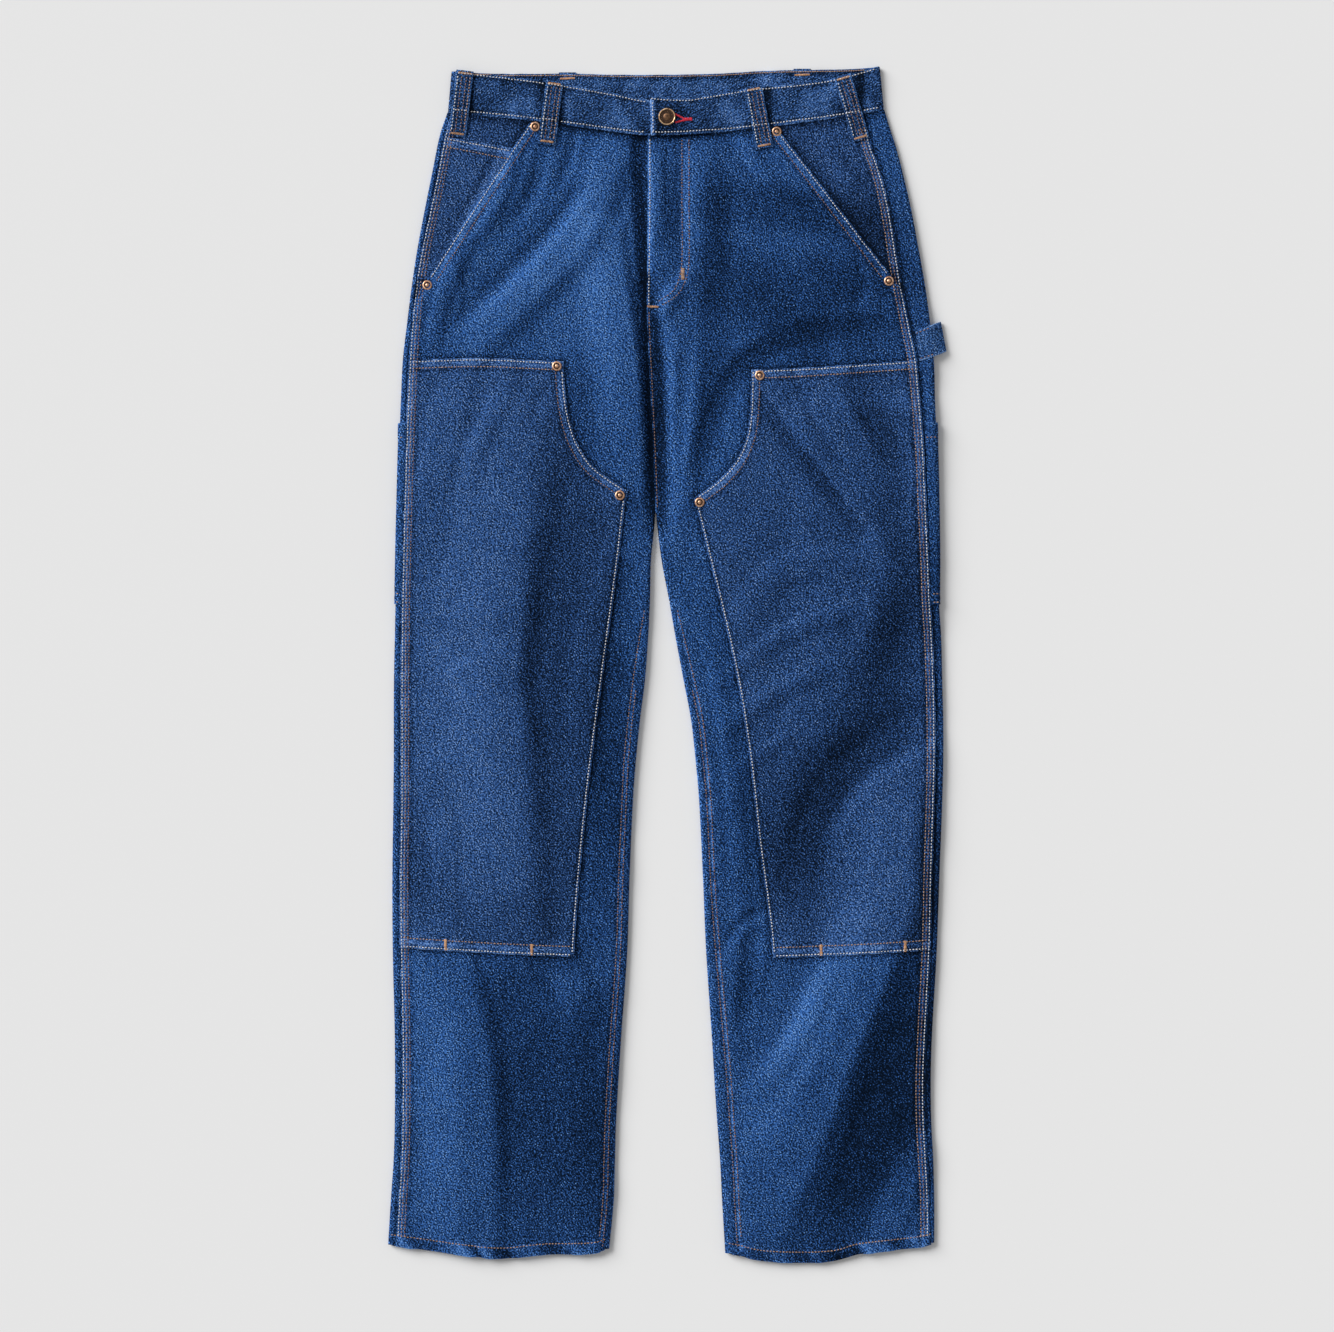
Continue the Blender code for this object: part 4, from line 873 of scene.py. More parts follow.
def back_points(leg, nominals):
    """Mid-cloth points of a back panel, from the outseam round the side and under."""
    seam = leg.seam_on(nominals)
    seam = seam + leg.outward * SEAM_GAP / 2
    edge_y = leg.meet(nominals, lambda at: leg.read("outer_edge", at))[1]
    side = leg.side_points("outer", edge_y, SIDE_ANGLES[None, :])
    tangent = side[:, 0, 0]
    shares = np.array([0.0, 0.08, 0.2, 0.36, 0.52, 0.68, 0.84])
    strip_x = seam[:, None] + (tangent - seam)[:, None] * shares
    strip_y = leg.line_down(strip_x, nominals[:, None])
    strip_up = np.stack([strip_x, strip_y, top_height(strip_x, strip_y)], -1)
    near = np.abs(strip_x - seam[:, None])
    # worn edge, less a painted shade in the groove beside the outseam
    strip_wear_and_shade = worn_edge(strip_up, near, 23, ()) - (1.5 if leg.outward > 0 else 0.7) * bell(near, 3.0)
    inner_y, end, end_wear = back_end(leg, nominals)
    start = side[:, -1, 0]
    pocket = start - leg.outward * TOOL_POCKET_REACH
    first = start[:, None] + (pocket - start)[:, None] * np.linspace(0, 1, POCKET_COLUMNS + 1)[1:]
    second = pocket[:, None] + (end[:, 0, 0] - pocket)[:, None] * np.linspace(0, 1, BACK_COLUMNS + 1)[1:-1]
    x = np.concatenate([first, second], 1)
    share = (x - start[:, None]) / (end[:, 0, 0] - start)[:, None]
    y = edge_y[:, None] + (inner_y - edge_y)[:, None] * share
    fade = (1 - ramp(BAND_LINE, 260.0, nominals))[:, None]
    y = y + fade * (smooth_read(BACK_BAND_SEAM, x) + (nominals - BAND_LINE)[:, None] - y)
    y = y + (0.9 * ramp(PATCH_FOOT, HEM, nominals))[:, None] * (leg.line_down(x, nominals[:, None]) - y)
    rim = ramp(0, 22, np.minimum(np.abs(x - start[:, None]), np.abs(x - end[:, :1, 0])))
    z = back_height(x, y) + crease_under(x, y) * rim * (1 - zone_lift(x, y) / STEP_UP)
    z = z + 0.14 * rim * (1 + soft_noise(41, x / 19, y / 24))
    under = np.stack([x, y, z], -1)
    points = np.concatenate([strip_up, side, under, end], 1)
    wear = np.zeros(points.shape[:2])
    wear[:, :strip_x.shape[1]] = strip_wear_and_shade
    wear[:, -end.shape[1]:] += end_wear
    tone = fade_and_painted_shade_at(points[..., 0], points[..., 1])
    first, last = strip_x.shape[1] + 7, points.shape[1] - 6
    x, y = points[:, first:last, 0], points[:, first:last, 1]
    behind = -0.45 * crease_under(x, y) + 0.35 * soft_noise(43, x / 90, y / 150) + 0.1
    tone[:, first:last] = behind
    return points, wear, tone


def back_end(leg, nominals):
    """The last points of a back's rows: flat to the middle seam, or round to the inseam."""
    fade = 1 - ramp(BAND_LINE, 260.0, nominals)
    across, down = leg.meet(nominals, lambda at: smooth_read(BACK_MIDDLE, at))
    down = down + fade * (smooth_read(BACK_BAND_SEAM, across) + nominals - BAND_LINE - down)
    across = across + SEAM_GAP / 2 * leg.outward
    steps = np.array([14.0, 11.0, 9.0, 8.2, 7.0, 5.0, 3.4, 2.4, 1.2, 0.5, 0.0])
    flat_x = across[:, None] + leg.outward * steps
    flat_y = np.broadcast_to(down[:, None], flat_x.shape)
    groove = 0.3 * bell(steps - ROW_NEAR, 0.8) + 0.3 * bell(steps - ROW_FAR, 0.8)
    groove = groove + 0.4 * bell(steps, 0.6)
    flat = np.stack([flat_x, flat_y, back_height(flat_x, flat_y) + groove], -1)
    inner_y, angle, place = leg.inseam(nominals, -SEAM_GAP / 2)
    turn = np.pi - angle
    curled = leg.side_points("inner", inner_y, np.pi - turn[:, None] * np.linspace(0, 1, len(steps)))
    around = leg.side_points("inner", inner_y, np.broadcast_to(np.pi * np.linspace(1, 0, 7), (len(nominals), 7)))
    top_x = around[:, -1, 0][:, None] + (place - around[:, -1, 0])[:, None] * np.array([0.3, 0.6, 0.88, 1.0])
    top_y = leg.line_down(top_x, nominals[:, None])
    top = np.stack([top_x, top_y, top_height(top_x, top_y)], -1)
    top_wear = worn_edge(top, np.abs(top_x - place[:, None]), 22, (ROW_NEAR,), 0.8)
    over = np.concatenate([around, top], 1)
    above = (nominals < CROTCH)[:, None, None]
    on_top = (angle <= 0)[:, None, None]
    end = np.where(above, flat, np.where(on_top, over, curled))
    wear = np.zeros(end.shape[:2])
    wear[:, -4:] = np.where((~above & on_top)[:, :, 0], top_wear, 0)
    wear += np.where(above[:, :, 0], 0.6 * bell(steps, 1.2), 0)
    return np.where(nominals < CROTCH, down, inner_y), end, wear


def patch_points(leg):
    """A knee patch, laid on the front from the outseam to its curved and slanting inner edge."""
    corner = leg.corner_row
    upper = PATCH_TOP + spread((SEWN_RIM, (0.0, 1.5)), corner - PATCH_TOP, PITCH)
    lower = corner + spread(((0.0, 1.5, 3.5), SEWN_RIM), PATCH_FOOT - corner, PITCH)
    nominals = np.concatenate([upper, lower[1:]])
    outer = leg.seam_on(nominals) - leg.outward * SEAM_GAP / 2
    edge = leg.meet(nominals, lambda at: patch_edge(leg, at)[0])[0]
    x = columns_across(outer, edge, (SEWN_RIM, SEWN_RIM), PATCH_COLUMNS)
    y = leg.line_down(x, nominals[:, None])
    points = np.stack([x, y, leg.front_height(x, y) + STEP_UP], -1)
    wear = worn_edge(points, np.abs(x - outer[:, None]), 21, (ROW_NEAR, ROW_FAR))
    near = np.abs(x - edge[:, None]) / np.hypot(1, patch_edge(leg, y)[1])
    curved = y <= leg.patch_edge[-1][0]
    wear += worn_edge(points, np.where(curved, near, 60.0), 24, (ROW_NEAR, ROW_FAR))
    wear += worn_edge(points, np.where(curved, 60.0, near), 25, (ROW_NEAR,))
    top = y - leg.line_down(x, PATCH_TOP)
    wear += worn_edge(points, top, 26, (ROW_NEAR, ROW_FAR), pale=1.2)
    foot = leg.line_down(x, PATCH_FOOT) - y
    wear += worn_edge(points, foot, 27, (ROW_NEAR, FOOT_ROW), pale=1.2)
    return points, wear, fade_and_painted_shade_at(x, y)


def facing_points(leg):
    """The cloth seen inside a pocket mouth, from the outseam to under the front."""
    foot_y = leg.mouth[1][1]
    nominals = np.linspace(BAND_LINE, leg.mouth_row + 14, 48)
    seam = leg.seam_on(nominals)
    seam = seam - leg.outward * SEAM_GAP / 2
    mouth = leg.meet(nominals, leg.mouth_across)[0]
    inner = mouth - leg.outward * FACING_UNDER
    x = seam[:, None] + (inner - seam)[:, None] * np.linspace(0, 1, 30)
    y = leg.line_down(x, nominals[:, None])
    sink = 1.4 * (1 - ramp(0, 12, np.abs(x - seam[:, None]))) * ramp(foot_y - 14, foot_y + 2, y)
    points = np.stack([x, y, top_height(x, y) - sink], -1)
    wear = worn_edge(points, np.abs(x - seam[:, None]), 23, (ROW_NEAR, ROW_FAR))
    shade = 0.6 * bell(leg.mouth_inward(x, y) + 1.0, 5.0)
    return points, wear, fade_and_painted_shade_at(x, y) - 0.1 - shade


def coin_points(leg):
    """The small pocket on the right facing, from its own top edge to the mouth's foot."""
    foot = leg.mouth[1][1] - 3.0
    share = np.concatenate([np.array(SEWN_RIM) / 140, np.linspace(0.1, 1, 30)])[:, None]
    (_, left_top), (_, right_top) = COIN_TOP
    left_y = left_top + (foot - left_top) * share
    right_y = right_top + (foot - right_top) * share
    left = leg.read("outer_seam", left_y) + 0.5
    right = leg.mouth_across(right_y) + 5.0
    part = np.linspace(0, 1, 26)[None, :]
    x = left + (right - left) * part
    y = left_y + (right_y - left_y) * part
    points = np.stack([x, y, top_height(x, y) + 1.0], -1)
    wear = worn_edge(points, (share * 140) * np.ones_like(x), 28, (ROW_NEAR, ROW_FAR + 1))
    return points, wear, fade_and_painted_shade_at(x, y) + 0.02


def even_stations(stations, pitch):
    """Stations along a band, read smoothly and evenly: their top and foot places, height and run."""
    table = np.array(stations, float)
    middle = (table[:, :2] + table[:, 2:4]) / 2
    steps = np.sqrt((np.diff(middle, axis=0) ** 2).sum(1) + np.diff(table[:, 4]) ** 2)
    run = np.concatenate([[0], np.cumsum(steps)])
    at = np.arange(0, run[-1], pitch)
    at = np.unique(np.concatenate([at, run, [run[-1] - 0.5, run[-1] - 1.2, run[-1] - 2.4, 0.6, 1.3]]))
    return np.stack([smooth_read(list(zip(run, column)), at) for column in table.T], -1), at, run[-1]


def band_points():
    """The waistband, round the back and over its own end, with its two rows of sewing."""
    rows, at, length = even_stations(BAND_STATIONS, BAND_STEP)
    wide = BAND_TALL
    places = spread((SEWN_RIM[:6], SEWN_RIM[:6]), wide, BAND_PITCH)
    from_end = length - at
    corner = np.where(from_end < 5, 5 - np.sqrt(np.maximum(25 - (5 - from_end) ** 2, 0)), 0)
    share = (corner[:, None] + places * (wide - corner[:, None]) / wide) / wide
    x = rows[:, :1] + (rows[:, 2:3] - rows[:, :1]) * share
    y = rows[:, 1:2] + (rows[:, 3:4] + 0.5 - rows[:, 1:2]) * share
    under = rows[:, 4:5] < BAND_CLOTH
    lift = np.where(under, zone_lift(x, np.broadcast_to(rows[:, 1:2], x.shape)), 0)
    wide_wave = 0.55 * soft_noise(33, at[:, None] / 34 + share * 0.5, share * 1.6)
    fine_wave = 0.42 * soft_noise(38, at[:, None] / 13 + share, share * 2.2)
    z = rows[:, 4:5] + lift + np.where(under, 0, wide_wave + fine_wave)
    points = np.stack([x, y, z], -1)
    near_top = places[None, :] + 0 * x
    flip = np.where(under, -1.0, 1.0)
    before = points[..., 2].copy()
    wear = worn_edge(points, near_top, 34, (ROW_NEAR,), 1.0)
    wear += worn_edge(points, wide - near_top, 35, (ROW_NEAR + 0.4,), 1.0)
    wear += worn_edge(points, from_end[:, None] + 0 * x, 36, (ROW_NEAR,), 1.0, 2.2)
    points[..., 2] = before + (points[..., 2] - before) * flip
    tone = 0.34 * soft_noise(37, at[:, None] / 26, share * 1.5)
    tone = tone + 0.32 * soft_noise(39, at[:, None] / 8 + share, share * 2.5)
    for loop in FRONT_LOOPS:
        from_loop = x - (loop.top_across + loop.foot_across) / 2
        shade = 1.2 * bell(from_loop - LOOP_WIDTH / 2, 4.6)
        shade = shade + 0.4 * bell(from_loop + LOOP_WIDTH / 2, 4)
        tone = tone - np.where(under, 0, shade)
    # painted shadow on the band round the button
    from_button = np.hypot((x - BUTTON_PLACE[0]) / 16, (y - BUTTON_PLACE[1]) / 14)
    tone = tone - 0.5 * np.exp(-from_button ** 2)
    rolled = bell(from_end[:, None] - 2.2, 2.0) * (0.8 + 0.5 * soft_noise(40, share * 5, share))
    points[..., 2] += 0.9 * rolled
    # paler on the rolled end, and a painted shadow just beside the roll
    tone = tone + 0.9 * rolled - 0.8 * bell(from_end[:, None] - 7.0, 2.6)
    return points, wear, tone + 0 * x


def loop_points(tree, loop):
    """A belt loop over the front band, resting on what lies under it."""
    run_x, run_y = loop.foot_across - loop.top_across, loop.foot_down - loop.top_down
    length = math.hypot(run_x, run_y)
    side_x, side_y = -run_y / length, run_x / length
    along = spread(((0.0, 0.5, 1.2, 2.2), (0.0, 0.5, 1.2, 2.2)), length, 2.4)
    half = LOOP_WIDTH / 2
    across = np.concatenate([np.array((0.0, 0.5, 1.1, 2.0, 2.8, 4.0, 5.2, 6.6)), [half]])
    across = np.concatenate([across - half, (half - across)[::-1][1:]])
    x = loop.top_across + run_x * along[:, None] / length + side_x * across[None, :]
    y = loop.top_down + run_y * along[:, None] / length + side_y * across[None, :]
    skin = np.array([[drop(tree, x[i, j], y[i, j])[0].z / MM for j in (0, 4, 8, 12, 16)] for i in range(len(along))])
    top = skin.max(1)
    reach = np.abs(along[:, None] - along[None, :])
    rest = (top[None, :] - 0.16 * reach - 0.012 * reach ** 2).max(1)
    share = along / length
    bulge = 0.9 * np.sin(np.pi * np.clip((share - 0.04) / 0.92, 0, 1)) ** 0.7
    z = rest + CLOTH / 2 + 0.15 + bulge
    points = np.stack([x, y, np.broadcast_to(z[:, None], x.shape)], -1).copy()
    near_side = half - np.abs(across)[None, :] + 0 * x
    wear = worn_edge(points, near_side, 51, (2.3,), 0.8, 0.55)
    near_end = np.minimum(along, length - along)[:, None] + 0 * x
    wear += worn_edge(points, near_end, 52, (), 0.8, 0.35)
    return points, wear, 0.15 * soft_noise(54, share[:, None] * 3, across[None, :] / 9) - 0.20 + 0 * x


def hammer_points():
    rows = even_stations(HAMMER_STATIONS, 2.6)[0]
    places = spread((PLAIN_RIM, PLAIN_RIM), HAMMER_WIDE, 3.0)
    share = places[None, :] / HAMMER_WIDE
    x = rows[:, :1] + (rows[:, 2:3] - rows[:, :1]) * share
    y = rows[:, 1:2] + (rows[:, 3:4] - rows[:, 1:2]) * share
    points = np.stack([x, y, rows[:, 4:5] + 0 * x], -1)
    near = np.minimum(places, HAMMER_WIDE - places)[None, :] + 0 * x
    wear = worn_edge(points, near, 53, (2.0,), np.where(rows[:, 4:5] < 1, 0.0, 0.7), 1.5)
    return points, wear, 0.06 + 0 * x


def tool_pocket_points(leg, points, nominals):
    """The pocket laid over the back panel's side, moved out from the same points."""
    out = grid_normals(put(points)) * leg.outward
    rows = (nominals >= TOOL_POCKET_TOP - 0.1) & (nominals <= TOOL_POCKET_FOOT + 0.1)
    columns = slice(2, 7 + len(SIDE_ANGLES) + POCKET_COLUMNS)
    laid = points[rows][:, columns] + out[rows][:, columns] * STEP_UP
    row_at = nominals[rows][:, None] + 0 * laid[..., 0]
    dip = lambda near, row: 0.3 * bell(near - row, 0.9)
    top, foot = row_at - TOOL_POCKET_TOP, TOOL_POCKET_FOOT - row_at
    sunk = dip(top, POCKET_HEM) + dip(foot, ROW_NEAR) + dip(foot, ROW_FAR + 2)
    doubled = 0.5 * (1 - ramp(15, 16.5, top))
    laid = laid + out[rows][:, columns] * (doubled - sunk)[..., None]
    wear = bell(top, 1.2) + 0.6 * bell(foot, 1.0)
    return laid, wear, fade_and_painted_shade_at(laid[..., 0], laid[..., 1])


def drop(tree, across, down, from_top=True):
    """The place and normal where a line straight down, or up from below, meets the cloth."""
    start = Vector(put((across, down, 60.0 if from_top else -40.0)).tolist())
    hit, normal, _, _ = tree.ray_cast(start, Vector((0, 0, -1.0 if from_top else 1.0)))
    if hit is None:
        return Vector((start.x, start.y, 0)), None
    return hit, normal


def tree_of(pieces):
    vertices, faces, offset = [], [], 0
    for piece in pieces:
        mesh = piece.data
        count = len(mesh.vertices)
        places = np.empty(count * 3)
        mesh.vertices.foreach_get("co", places)
        vertices += [tuple(place) for place in places.reshape(-1, 3)]
        faces += [tuple(index + offset for index in face.vertices) for face in mesh.polygons]
        offset += count
    return BVHTree.FromPolygons(vertices, faces)


class Sewing:
    """Stitches laid on the cloth, kept for each mesh that they will be joined into."""

    def __init__(self, tree):
        self.tree = tree
        self.held = {}
        self.random = np.random.default_rng(7)

    def stitch(self, group, x, y, way, thread, from_top):
        half = thread.length / 2 * self.random.uniform(0.88, 1.06)
        turn = self.random.normal(0, 0.05)
        dx, dy = way[0] - turn * way[1], way[1] + turn * way[0]
        x, y = x + self.random.normal(0, 0.08), y + self.random.normal(0, 0.08)
        a, normal = drop(self.tree, x - dx * half, y - dy * half, from_top)
        b, other = drop(self.tree, x + dx * half, y + dy * half, from_top)
        if normal is None or other is None or abs(a.z - b.z) > 0.9 * thread.length * MM:
            return
        middle = (normal + other).normalized()
        if middle.z * (1 if from_top else -1) < 0.25:
            return
        wide = thread.width * self.random.uniform(0.85, 1.15) * (1.0 if from_top else 0.6)
        self.held.setdefault(group, []).append((*a, *b, *middle, wide * MM))

    def row(self, group, path, thread, from_top=True):
        for (x, y), way in zip(*trace(path, thread.pitch)):
            self.stitch(group, x, y, way, thread, from_top)

    def bar(self, group, start, end, wide, thread, from_top=True):
        """Close stitches across a short bar, as a bartack has."""
        places, ways = trace((start, end), thread.pitch)
        across = thread._replace(length=wide)
        for (x, y), (dx, dy) in zip(places, ways):
            self.stitch(group, x, y, (-dy, dx), across, from_top)

    def make(self, group, look):
        data = np.array(self.held[group])
        a, b, normal, wide = data[:, 0:3], data[:, 3:6], data[:, 6:9], data[:, 9:10]
        way = b - a
        side = np.cross(normal, way)
        side /= np.maximum(np.linalg.norm(side, axis=1, keepdims=True), 1e-12)
        points = [a - normal * 0.08 * MM, b - normal * 0.08 * MM]
        for share in (0.2, 0.8):
            centre = a + way * share + normal * wide * 0.28
            points += [centre + side * wide / 2, centre + normal * wide * 0.42]
            points += [centre - side * wide / 2, centre - normal * wide * 0.42]
        vertices = np.stack(points, 1).reshape(-1, 3)
        pattern = []
        for step in range(4):
            after = (step + 1) % 4
            pattern += [(0, 2 + after, 2 + step), (1, 6 + step, 6 + after)]
            pattern += [(2 + step, 2 + after, 6 + after, 6 + step)]
        faces = [tuple(i + 10 * n for i in face) for n in range(len(data)) for face in pattern]
        mesh = quads_mesh(group, vertices, faces)
        mesh.materials.append(look)
        return link(mesh, group)


def trace(path, pitch):
    """Even places along a line, with the direction at each."""
    path = np.asarray(path, float)
    run = np.concatenate([[0], np.cumsum(np.hypot(*np.diff(path, axis=0).T))])
    count = max(1, int(run[-1] / pitch))
    at = (np.arange(count) + 0.5) * run[-1] / count
    read = lambda place: np.stack([np.interp(place, run, path[:, 0]), np.interp(place, run, path[:, 1])], -1)
    way = read(np.minimum(at + 0.5, run[-1])) - read(np.maximum(at - 0.5, 0))
    return read(at), way / np.linalg.norm(way, axis=1, keepdims=True)


def beside(path, distance):
    """A line moved sideways, to its right as it runs when distance is above 0."""
    path = np.asarray(path, float)
    way = np.gradient(path, axis=0)
    way /= np.linalg.norm(way, axis=1, keepdims=True)
    return path + np.stack([-way[:, 1], way[:, 0]], -1) * distance


def along(across_at, low, high, step=5.0):
    """A line down the garment whose across is read at each down."""
    downs = np.linspace(low, high, max(3, int(abs(high - low) / step)))
    return np.stack([across_at(downs) + 0 * downs, downs], -1)


def across_line(leg, nominal, start, end, lower=0.0):
    """A line across a leg, following one of its rows."""
    xs = np.linspace(start, end, max(3, int(abs(end - start) / 5)))
    return np.stack([xs, leg.line_down(xs, nominal) + lower], -1)


def graph(material):
    """Short helpers that add and join shader nodes of one material."""
    nodes, links = material.node_tree.nodes, material.node_tree.links
    place = nodes.new("ShaderNodeTexCoord").outputs["Object"]

    def mapped(scale, turn):
        mapping = nodes.new("ShaderNodeMapping")
        mapping.vector_type = "TEXTURE"
        mapping.inputs["Scale"].default_value = scale
        mapping.inputs["Rotation"].default_value = (0, 0, turn)
        links.new(place, mapping.inputs["Vector"])
        return mapping.outputs[0]

    def noise(size, turn=0.0, detail=2.0, rough=0.6):
        moved = mapped([value * MM for value in size], turn)
        texture = nodes.new("ShaderNodeTexNoise")
        texture.inputs["Scale"].default_value = 1.0
        texture.inputs["Detail"].default_value = detail
        texture.inputs["Roughness"].default_value = rough
        links.new(moved, texture.inputs["Vector"])
        return texture.outputs[0]

    def cells(size, turn, step):
        """Small blocks of random value, as yarn tops are, each less its neighbour's to even out."""
        moved = mapped([value * MM for value in size] + [1.0], turn)
        whole = nodes.new("ShaderNodeVectorMath")
        whole.operation = "FLOOR"
        links.new(moved, whole.inputs[0])
        beside = nodes.new("ShaderNodeVectorMath")
        beside.operation = "ADD"
        links.new(whole.outputs[0], beside.inputs[0])
        beside.inputs[1].default_value = (*step, 0.0)
        difference = nodes.new("ShaderNodeMath")
        difference.operation = "SUBTRACT"
        for number, vector in enumerate((whole, beside)):
            texture = nodes.new("ShaderNodeTexWhiteNoise")
            texture.noise_dimensions = "2D"
            links.new(vector.outputs[0], texture.inputs["Vector"])
            links.new(texture.outputs["Value"], difference.inputs[number])
        return difference.outputs[0]

    def wave(period, turn):
        moved = mapped([period * MM / (math.pi / 10)] * 3, turn)
        texture = nodes.new("ShaderNodeTexWave")
        texture.inputs["Scale"].default_value = 1.0
        texture.inputs["Distortion"].default_value = 1.2
        texture.inputs["Detail"].default_value = 1.0
        links.new(moved, texture.inputs["Vector"])
        return texture.outputs[1]

    def added(value, share, base):
        """value * share + base, where base is a number or another value."""
        node = nodes.new("ShaderNodeMath")
        node.operation = "MULTIPLY_ADD"
        links.new(value, node.inputs[0])
        node.inputs[1].default_value = share
        if isinstance(base, (int, float)):
            node.inputs[2].default_value = base
        else:
            links.new(base, node.inputs[2])
        return node.outputs[0]

    def stored(name):
        node = nodes.new("ShaderNodeAttribute")
        node.attribute_name = name
        return node.outputs["Fac"]

    def ramp_of(value, stops):
        node = nodes.new("ShaderNodeValToRGB")
        links.new(value, node.inputs[0])
        elements = node.color_ramp.elements
        while len(elements) < len(stops):
            elements.new(0.5)
        for element, (place_at, colour) in zip(elements, stops):
            element.position = place_at
            element.color = (*colour, 1.0)
        return node.outputs[0]

    def bump(value, strength, distance):
        node = nodes.new("ShaderNodeBump")
        node.inputs["Strength"].default_value = strength
        node.inputs["Distance"].default_value = distance
        links.new(value, node.inputs["Height"])
        return node.outputs[0]

    return noise, cells, wave, added, stored, ramp_of, bump


def new_material(name, roughness, metallic=0.0, sheen=0.0, shine=0.5):
    material = bpy.data.materials.new(name)
    material.use_nodes = True
    shader = material.node_tree.nodes["Principled BSDF"]
    shader.inputs["Roughness"].default_value = roughness
    shader.inputs["Metallic"].default_value = metallic
    shader.inputs["Sheen Weight"].default_value = sheen
    shader.inputs["Specular IOR Level"].default_value = shine
    return material, shader, material.node_tree.links


def denim(name, turn, tint, bias):
    """Indigo twill: speckled yarns, slubs along the warp, soft blotches, worn edges, and the stored fading with its
    painted light and shade.
    """
    material, shader, links = new_material(name, 0.9, shine=0.03)
    noise, cells, wave, added, stored, ramp_of, bump = graph(material)
    warp = cells((1.1, 1.5), turn + math.radians(4), (1.0, 0.0))
    weft = cells((1.4, 1.1), turn - math.radians(7), (0.0, 1.0))
    slub = noise((2.0, 26.0, 200.0), turn, 2.0, 0.6)
    blotch = noise((30.0, 44.0, 200.0), turn, 3.0, 0.6)
    twill = wave(2.2, turn + math.radians(27))
    value = added(warp, SPECKLE, bias - 0.5 * (SLUB_SHARE + BLOTCH_SHARE + TWILL_SHARE))
    value = added(weft, SPECKLE, value)
    value = added(slub, SLUB_SHARE, value)
    value = added(blotch, BLOTCH_SHARE, value)
    value = added(twill, TWILL_SHARE, value)
    # fading together with the painted light and shade stored on the cloth
    value = added(stored("fade"), FADE_AND_SHADE_SHARE, value)
    value = added(stored("wear"), WEAR_SHARE, value)
    stops = [(place, tuple(part * share for part, share in zip(colour, tint))) for place, colour in DENIM_STOPS]
    links.new(ramp_of(value, stops), shader.inputs["Base Color"])
    links.new(added(slub, 0.16, 0.82), shader.inputs["Roughness"])
    height = added(twill, 0.5, slub)
    links.new(bump(height, 0.6, 0.0005), shader.inputs["Normal"])
    return material


def thread_look(name, dark, light):
    material, shader, links = new_material(name, 0.75, sheen=0.05)
    noise, _, _, _, _, ramp_of, bump = graph(material)
    fuzz = noise((4.0, 4.0, 4.0), 0.0, 3.0, 0.7)
    links.new(ramp_of(fuzz, ((0.3, dark), (0.7, light))), shader.inputs["Base Color"])
    links.new(bump(noise((0.3, 0.3, 0.3)), 0.4, 0.0001), shader.inputs["Normal"])
    return material


def metal(name, stops, roughness):
    material, shader, links = new_material(name, roughness, metallic=0.8)
    noise, _, _, added, _, ramp_of, bump = graph(material)
    patina = noise((2.2, 2.2, 2.2), 0.0, 5.0, 0.7)
    links.new(ramp_of(patina, stops), shader.inputs["Base Color"])
    links.new(added(patina, 0.35, roughness - 0.17), shader.inputs["Roughness"])
    links.new(bump(noise((0.5, 0.5, 0.5)), 0.3, 0.0001), shader.inputs["Normal"])
    return material


def lathe(rings, segments, lean=(0.0, 0.0)):
    """Vertices and faces of a turned shape from rings of (radius, height), in millimetres."""
    turn = np.linspace(0, 2 * np.pi, segments, endpoint=False)
    vertices = []
    for radius, height in rings:
        for t in turn:
            x, y = radius * math.cos(t), radius * math.sin(t)
            vertices.append((x, y, height + lean[0] * x + lean[1] * y))
    faces = []
    for ring in range(len(rings) - 1):
        for step in range(segments):
            a, b = ring * segments + step, ring * segments + (step + 1) % segments
            faces.append((a, b, b + segments, a + segments))
    faces.append(tuple(range(segments - 1, -1, -1)))
    faces.append(tuple((len(rings) - 1) * segments + step for step in range(segments)))
    return vertices, faces


def set_in_place(name, across, down, base, parts, looks):
    """One mesh from several parts, each (vertices, faces, look index), at a place on the cloth."""
    vertices, faces, marks = [], [], []
    for part_vertices, part_faces, look in parts:
        offset = len(vertices)
        vertices += part_vertices
        faces += [tuple(index + offset for index in face) for face in part_faces]
        marks += [look] * len(part_faces)
    points = np.array(vertices, float)
    centre = put((across, down, 0.0))
    places = np.stack([centre[0] + points[:, 0] * MM, centre[1] + points[:, 1] * MM, base + points[:, 2] * MM], -1)
    mesh = quads_mesh(name, places, faces)
    for look in looks:
        mesh.materials.append(look)
    mesh.polygons.foreach_set("material_index", np.array(marks, np.int32))
    mesh.set_sharp_from_angle(angle=math.radians(38))
    return link(mesh, name)


def rivet_parts(rng):
    lean = rng.uniform(-0.05, 0.05, 2)
    ring = [
        (4.1, -0.8), (4.9, -0.4), (4.95, 0.35), (4.6, 0.95), (4.0, 1.25), (3.3, 1.2), (2.75, 0.75), (2.45, 0.35),
        (2.2, 0.3), (1.95, 0.5), (1.75, 0.95), (1.25, 1.3), (0.6, 1.42), (0.12, 1.45),
    ]
    vertices, faces = lathe(ring, 40, lean)
    dark = range(5 * 40, 8 * 40)
    outer = [(face, 1 if index in dark else 0) for index, face in enumerate(faces)]
    return [
        (vertices, [face for face, mark in outer if mark == 0], 0),
        (vertices, [face for face, mark in outer if mark == 1], 1),
    ]


